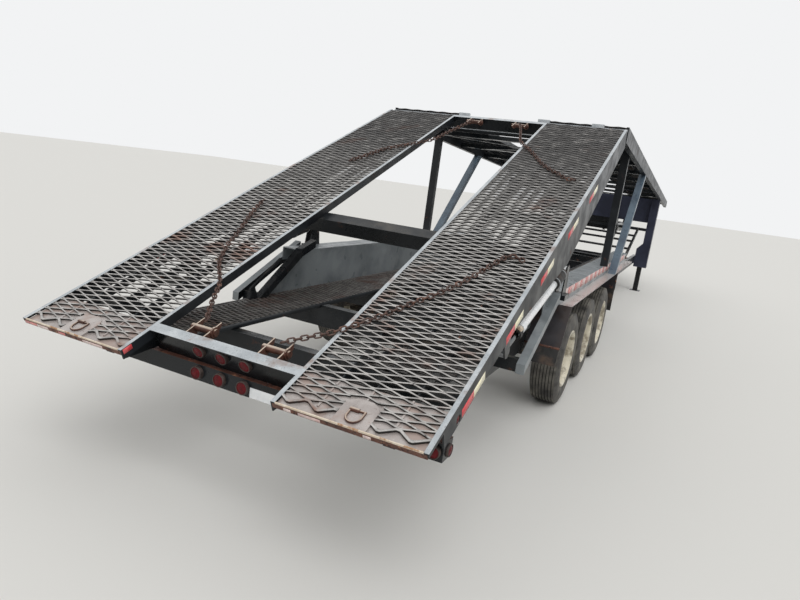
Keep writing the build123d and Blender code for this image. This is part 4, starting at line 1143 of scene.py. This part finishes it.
def wheel_layers(settings):
    """Rim barrel, disc, hub and its nuts about the z axis, outer side up."""
    metal = join(turned(BARREL, 72), disc_mesh(settings.hand_holes), turned(HUB, 48))
    nut = turned(((0.0, 0.024), (0.0165, 0.024), (0.019, 0.021), (0.019, 0.004)), 6, closed=False)
    washer = turned(((0.019, 0.004), (0.023, 0.004), (0.023, -0.001)), 18, closed=False)
    stud = turned(((0.0, 0.040), (0.009, 0.040), (0.011, 0.038), (0.011, 0.023)), 10, closed=False)
    circle, seat = 0.136, -0.046
    places = np.tile(np.eye(4), (settings.nuts, 1, 1))
    angle = np.arange(settings.nuts) * 2 * np.pi / settings.nuts
    places[:, 0, 3] = circle * np.cos(angle)
    places[:, 1, 3] = circle * np.sin(angle)
    places[:, 2, 3] = seat
    fixings = join(*(repeat(points, faces, places) for points, faces in (nut, washer, stud)))
    return metal, fixings


class TRAILER_OT_wheels(bpy.types.Operator):
    """Makes the six tyres and wheels"""

    bl_idname = "trailer.wheels"
    bl_label = "Wheels"

    def execute(self, context):
        settings = context.scene.trailer_wheels
        tyre_points, tyre_faces, dust = tyre_mesh(settings)
        metal, fixings = wheel_layers(settings)
        for row, distance in AXLES.items():
            for end, side in SIDES.items():
                # z of the wheel points outwards; the left wheels are the right
                # ones turned half round, not mirrored
                turn = np.array([[0, 0, side], [side, 0, 0], [0, 1, 0]], float)
                centre = np.array([side * TYRE_CENTRE, station(distance), TYRE_RADIUS])
                body = f"wheel_{row}_{end}"
                make_piece(
                    f"tread_{row}_{end}",
                    [(tyre_points @ turn.T + centre, tyre_faces, materials["tyre"])],
                    body,
                    [f"tyre_{row}_{end}"],
                    smooth=35.0,
                    attribute=("dust", dust),
                )
                make_piece(
                    f"disc_wheel_{row}_{end}",
                    [
                        (metal[0] @ turn.T + centre, metal[1], materials["rim"]),
                        (fixings[0] @ turn.T + centre, fixings[1], materials["zinc"]),
                    ],
                    body,
                    [f"rim_{row}_{end}"],
                    weld=True,
                    smooth=35.0,
                )
        return {"FINISHED"}


# ---------------------------------------------------------------- cylinders


class TRAILER_OT_cylinder_fittings(bpy.types.Operator):
    """Puts the black caps, the clamps and the pale ports on the lift cylinders"""

    bl_idname = "trailer.cylinder_fittings"
    bl_label = "Cylinder fittings"

    def execute(self, context):
        # the frame's pin, the way from it to the deck's pin, and the barrel's wall
        pin = np.array([0.0, station(2.780), 1.330])
        way = np.array([0.0, -1.530, -0.360])
        way /= np.linalg.norm(way)
        turn, across, wall, port_way = facing(way), 1.205, 0.0305, 1.305
        profiles = (
            [collar(wall, 0.046, 0.100, 0.360), collar(wall, 0.041, 1.275, 1.325)],
            [collar(0.046, 0.049, 0.135, 0.149), collar(0.046, 0.049, 0.330, 0.344)],
        )
        plug = ((0.0, 0.060), (0.014, 0.060), (0.020, 0.054), (0.020, 0.028), (0.0, 0.028))
        for end, side in SIDES.items():
            foot = pin + (side * across, 0.0, 0.0)
            caps, clamps = ([turned(one, 28, turn, foot) for one in group] for group in profiles)
            outwards = facing((side * 0.5, 0, 0.87))
            port = turned(plug, 20, outwards, foot + way * port_way, closed=False)
            make_piece(
                f"cylinder_caps_{end}",
                [
                    (*join(*caps), materials["rubber"]),
                    (*join(*clamps), materials["zinc"]),
                    (*port, materials["tail_edge"]),
                ],
                f"cylinder_{end}",
                smooth=40.0,
            )
        return {"FINISHED"}


class TRAILER_OT_guard_edges(bpy.types.Operator):
    """Puts the rusty folded edge along the foot of the rear wheel guards"""

    bl_idname = "trailer.guard_edges"
    bl_label = "Guard edges"

    def execute(self, context):
        along, heights = (station(2.7305), station(2.742)), (0.684, 0.700)
        rows = [[span(side, 0.975, 1.291), along, heights] for side in SIDES.values()]
        make_piece("guard_edges", [(*boxes(rows), materials["rust"])], "frame")
        return {"FINISHED"}


# ---------------------------------------------------------------- lamps


def lamp_layers(radius, depth, direction, centre):
    """A round lamp: a rubber ring, and a lens whose dome is a parabola over the
    radius with three moulded waves."""
    turn, hole = facing(direction), radius * 0.83
    ring = [
        (hole, depth - 0.002), (radius * 0.86, depth + 0.001), (radius * 0.94, depth + 0.001),
        (radius, depth - 0.003), (radius, 0.0), (hole, 0.0),
    ]
    way = np.linspace(1.0, 0.0, 12)
    dome = depth - 0.003 + 0.006 * (1 - way**2) + 0.0008 * np.cos(way * 6 * np.pi)
    lens = np.stack([radius * 0.84 * way, dome], axis=-1)
    return turned(ring, 36, turn, centre), turned(lens, 36, turn, centre, closed=False)


def lamps(name, places, body, replaced, lens):
    """One piece of lamps from rows of radius, depth, direction and centre."""
    rings, lenses = zip(*(lamp_layers(*row) for row in places))
    make_piece(
        name,
        [(*join(*rings), materials["lamp_ring"]), (*join(*lenses), materials[lens])],
        body,
        replaced,
        weld=True,
        smooth=40.0,
    )


class TRAILER_OT_lamps(bpy.types.Operator):
    """Makes the red lamps of the rear deck and bumper and the amber side lamps"""

    bl_idname = "trailer.lamps"
    bl_label = "Lamps"

    def execute(self, context):
        small, medium, large = 0.025, 0.032, 0.038
        aft, group = (0, -1, 0), (-0.157, 0.0, 0.157)
        rear = [(large, 0.022, -REAR.along, REAR.place((x, 0.225, -0.055))) for x in group]
        for side in SIDES.values():
            centre = REAR.place((side * (HALF_WIDTH - 0.017), 0.315, -0.080))
            rear.append((small, 0.013, (side, 0, 0), centre))
        lamps("deck_lamps", rear, "rear_deck", ["rear_deck_lamps"], "lens_red")
        face_y, middle = station(0.222), 0.7325
        low = [(large, 0.022, aft, (x, face_y, middle)) for x in group]
        for side in SIDES.values():
            low.append((medium, 0.022, aft, (side * 1.240, face_y, middle)))
            centre = (side * 1.278, station(0.288), middle - 0.005)
            low.append((medium, 0.013, (side, 0, 0), centre))
        lamps("bumper_lamps", low, "frame", ["frame_lamps"], "lens_red")
        # amber markers: on the wheel boxes, and on the fenders
        marker, fender_x = 0.022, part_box("fenders")[1].x - 0.015
        spots = ((0.014, BOX_WALL - 0.001, 7.95, 1.076), (0.011, fender_x, 6.19, 0.900))
        amber = [
            (marker, depth, (side, 0, 0), (side * x, station(distance), height))
            for depth, x, distance, height in spots
            for side in SIDES.values()
        ]
        lamps("side_markers", amber, "frame", [], "lens_amber")
        return {"FINISHED"}


# ---------------------------------------------------------------- tape


TAPE_LENGTH, TAPE_THICKNESS = 0.152, 0.3 * MM
# s of the rear end and n of the middle of each red and pale pair on the rails
RAIL_ROWS = ((0.356, -0.081), (0.985, -0.097), (1.645, -0.097), (2.325, -0.097), (2.995, -0.097))
# x limits of what is left of the tape on the tail lip
RED_REMAINS = ((-1.285, -1.180), (-0.997, -0.938))
PALE_REMAINS = (
    (-1.178, -1.083), (-0.798, -0.640), (0.560, 0.600), (0.640, 0.760), (0.980, 1.020)
)


def strips(deck, side, x, rows, half):
    """Thin strips of sheeting on an upright face: rows of s limits and the n of
    their middle, each twice half high."""
    across = span(side, x, x + TAPE_THICKNESS)
    flat = [[across, (start, end), (n - half, n + half)] for start, end, n in rows]
    points, faces = boxes(flat)
    return deck.place(points), faces


def pairs(deck, side, x, rows, half):
    """Red strips at rows of s and n, and a pale strip straight after each."""
    red = [(s, s + TAPE_LENGTH, n) for s, n in rows]
    pale = [(s + TAPE_LENGTH, s + 2 * TAPE_LENGTH, n) for s, n in rows]
    return strips(deck, side, x, red, half), strips(deck, side, x, pale, half)


class TRAILER_OT_tape(bpy.types.Operator):
    """Sticks the red and pale reflective strips on the rails and wheel boxes"""

    bl_idname = "trailer.tape"
    bl_label = "Reflective tape"

    def execute(self, context):
        reds, pales = [], []
        for side in SIDES.values():
            red, pale = pairs(REAR, side, HALF_WIDTH, RAIL_ROWS, 0.025)
            # a short red one on the inner face of each rail's tail
            short = strips(REAR, -side, -RAIL_INNER, [(0.010, 0.070, -0.019)], 0.015)
            reds += [red, short]
            pales.append(pale)
        remains = []
        for places in (RED_REMAINS, PALE_REMAINS):
            points, faces = boxes([[place, (-0.0006, 0.0), (-0.033, -0.016)] for place in places])
            remains.append((REAR.place(points), faces))
        make_piece(
            "rail_tape",
            [
                (*join(*reds), materials["tape_red"]),
                (*join(*pales), materials["tape_pale"]),
                (*remains[0], materials["tape_pink"]),
                (*remains[1], materials["tape_faded"]),
            ],
            "rear_deck",
        )
        rows = [(s, 0.303) for s in np.arange(2.95, 7.7, 2 * TAPE_LENGTH)]
        sets = [pairs(LOWER, side, BOX_WALL, rows, 0.036) for side in SIDES.values()]
        reds, pales = zip(*sets)
        make_piece(
            "box_tape",
            [(*join(*reds), materials["tape_pink"]), (*join(*pales), materials["tape_faded"])],
            "frame",
        )
        return {"FINISHED"}


# ---------------------------------------------------------------- stage


class TRAILER_OT_stage(bpy.types.Operator):
    """Lays the pale floor and sets the soft light and the camera"""

    bl_idname = "trailer.stage"
    bl_label = "Stage"

    def execute(self, context):
        scene = context.scene
        settings = scene.trailer_stage
        reach = 90.0
        floor_mesh = bpy.data.meshes.new("floor")
        floor_mesh.from_pydata(
            [(-reach, -reach, 0), (reach, -reach, 0), (reach, reach, 0), (-reach, reach, 0)],
            [],
            [(0, 1, 2, 3)],
        )
        floor = bpy.data.objects.new("floor", floor_mesh)
        scene.collection.objects.link(floor)
        # matt studio floor: pale, with no shine
        material, tree, shader, _ = new_material("pale studio floor")
        shader.inputs["Base Color"].default_value = (*settings.floor, 1.0)
        shader.inputs["Roughness"].default_value = 0.9
        shader.inputs["Specular IOR Level"].default_value = 0.1
        floor_mesh.materials.append(material)

        # the sky lights softly and less from lower down, and shows as one pale tone
        world = bpy.data.worlds.new("soft sky")
        scene.world = world
        world.use_nodes = True
        tree = world.node_tree
        tree.nodes.clear()
        rays = add_node(tree, "ShaderNodeLightPath").outputs
        seen = rays["Is Camera Ray"]
        for kind in ("Is Glossy Ray", "Is Transmission Ray"):
            either = {0: seen, 1: rays[kind]}
            seen = add_node(tree, "ShaderNodeMath", either, operation="MAXIMUM").outputs[0]
        heading = add_node(tree, "ShaderNodeTexCoord").outputs["Generated"]
        height = add_node(tree, "ShaderNodeSeparateXYZ", {"Vector": heading}).outputs["Z"]
        levels = {"Value": height, "To Min": 0.25 * settings.sky, "To Max": settings.sky}
        ramp = add_node(tree, "ShaderNodeMapRange", levels, interpolation_type="SMOOTHSTEP")
        light = {"Color": linear("#FFFFFF"), "Strength": ramp.outputs["Result"]}
        backdrop = {"Color": linear("#F2F3F4"), "Strength": 1.0}
        lit = add_node(tree, "ShaderNodeBackground", light).outputs[0]
        shown = add_node(tree, "ShaderNodeBackground", backdrop).outputs[0]
        mixed = add_node(tree, "ShaderNodeMixShader", {0: seen, 1: lit, 2: shown})
        add_node(tree, "ShaderNodeOutputWorld", {"Surface": mixed.outputs[0]})

        sun_data = bpy.data.lights.new("soft sun", "SUN")
        sun_data.energy = settings.sun
        sun_data.angle = float(np.radians(50.0))
        sun = bpy.data.objects.new("soft sun", sun_data)
        sun.rotation_euler = np.radians([28.0, 24.0, 0.0]).tolist()
        scene.collection.objects.link(sun)

        # the camera as solved from the photo: its focal length in pixels of a
        # picture 800 wide, its place, and the directions ahead and to the right
        focal_pixels, photo_width, sensor = 609.9, 800.0, 36.0
        camera_data = bpy.data.cameras.new("camera")
        camera_data.sensor_width = sensor
        camera_data.lens = focal_pixels / photo_width * sensor
        camera_data.clip_end = 500.0
        camera = bpy.data.objects.new("camera", camera_data)
        ahead = np.array([-0.4067, 0.8904, -0.2043])
        right = np.array([0.8904, 0.4364, 0.1295])
        ahead /= np.linalg.norm(ahead)
        right -= ahead * (right @ ahead)
        right /= np.linalg.norm(right)
        up = np.cross(right, ahead)
        placed = np.eye(4)
        placed[:3, 0], placed[:3, 1], placed[:3, 2] = right, up, -ahead
        placed[:3, 3] = (2.0707, -9.7168, 1.9233)
        camera.matrix_world = Matrix(placed.tolist())
        scene.collection.objects.link(camera)
        scene.camera = camera
        scene.view_settings.view_transform = "Standard"
        return {"FINISHED"}


# ---------------------------------------------------------------- add-on


class TRAILER_PT_panel(bpy.types.Panel):
    """Lists the steps that dress the trailer"""

    bl_idname = "TRAILER_PT_panel"
    bl_label = "Trailer"
    bl_space_type = "VIEW_3D"
    bl_region_type = "UI"
    bl_category = "Trailer"

    def draw(self, context):
        for settings in SETTINGS:
            group = getattr(context.scene, settings)
            column = self.layout.column()
            for name in group.__annotations__:
                column.prop(group, name)
        for step in STEPS:
            self.layout.operator(step.bl_idname)


SETTINGS = {
    "trailer_runways": RunwaySettings,
    "trailer_chains": ChainSettings,
    "trailer_wheels": WheelSettings,
    "trailer_stage": StageSettings,
}
STEPS = (
    TRAILER_OT_stage,
    TRAILER_OT_finishes,
    TRAILER_OT_rear_runways,
    TRAILER_OT_front_runways,
    TRAILER_OT_lower_runways,
    TRAILER_OT_tail_plates,
    TRAILER_OT_chains,
    TRAILER_OT_wheels,
    TRAILER_OT_cylinder_fittings,
    TRAILER_OT_guard_edges,
    TRAILER_OT_lamps,
    TRAILER_OT_tape,
)


def register():
    """Registers the settings, the steps and the panel."""
    for name, group in SETTINGS.items():
        bpy.utils.register_class(group)
        setattr(bpy.types.Scene, name, PointerProperty(type=group))
    for step in (*STEPS, TRAILER_PT_panel):
        bpy.utils.register_class(step)


def unregister():
    """Takes them all away again."""
    for step in (*STEPS, TRAILER_PT_panel):
        bpy.utils.unregister_class(step)
    for name, group in SETTINGS.items():
        delattr(bpy.types.Scene, name)
        bpy.utils.unregister_class(group)


def main():
    """Dresses the trailer step by step."""
    register()
    bpy.ops.trailer.stage()
    bpy.ops.trailer.finishes()
    bpy.ops.trailer.rear_runways()
    bpy.ops.trailer.front_runways()
    bpy.ops.trailer.lower_runways()
    bpy.ops.trailer.tail_plates()
    bpy.ops.trailer.chains()
    bpy.ops.trailer.wheels()
    bpy.ops.trailer.cylinder_fittings()
    bpy.ops.trailer.guard_edges()
    bpy.ops.trailer.lamps()
    bpy.ops.trailer.tape()


if __name__ == "__main__":
    main()
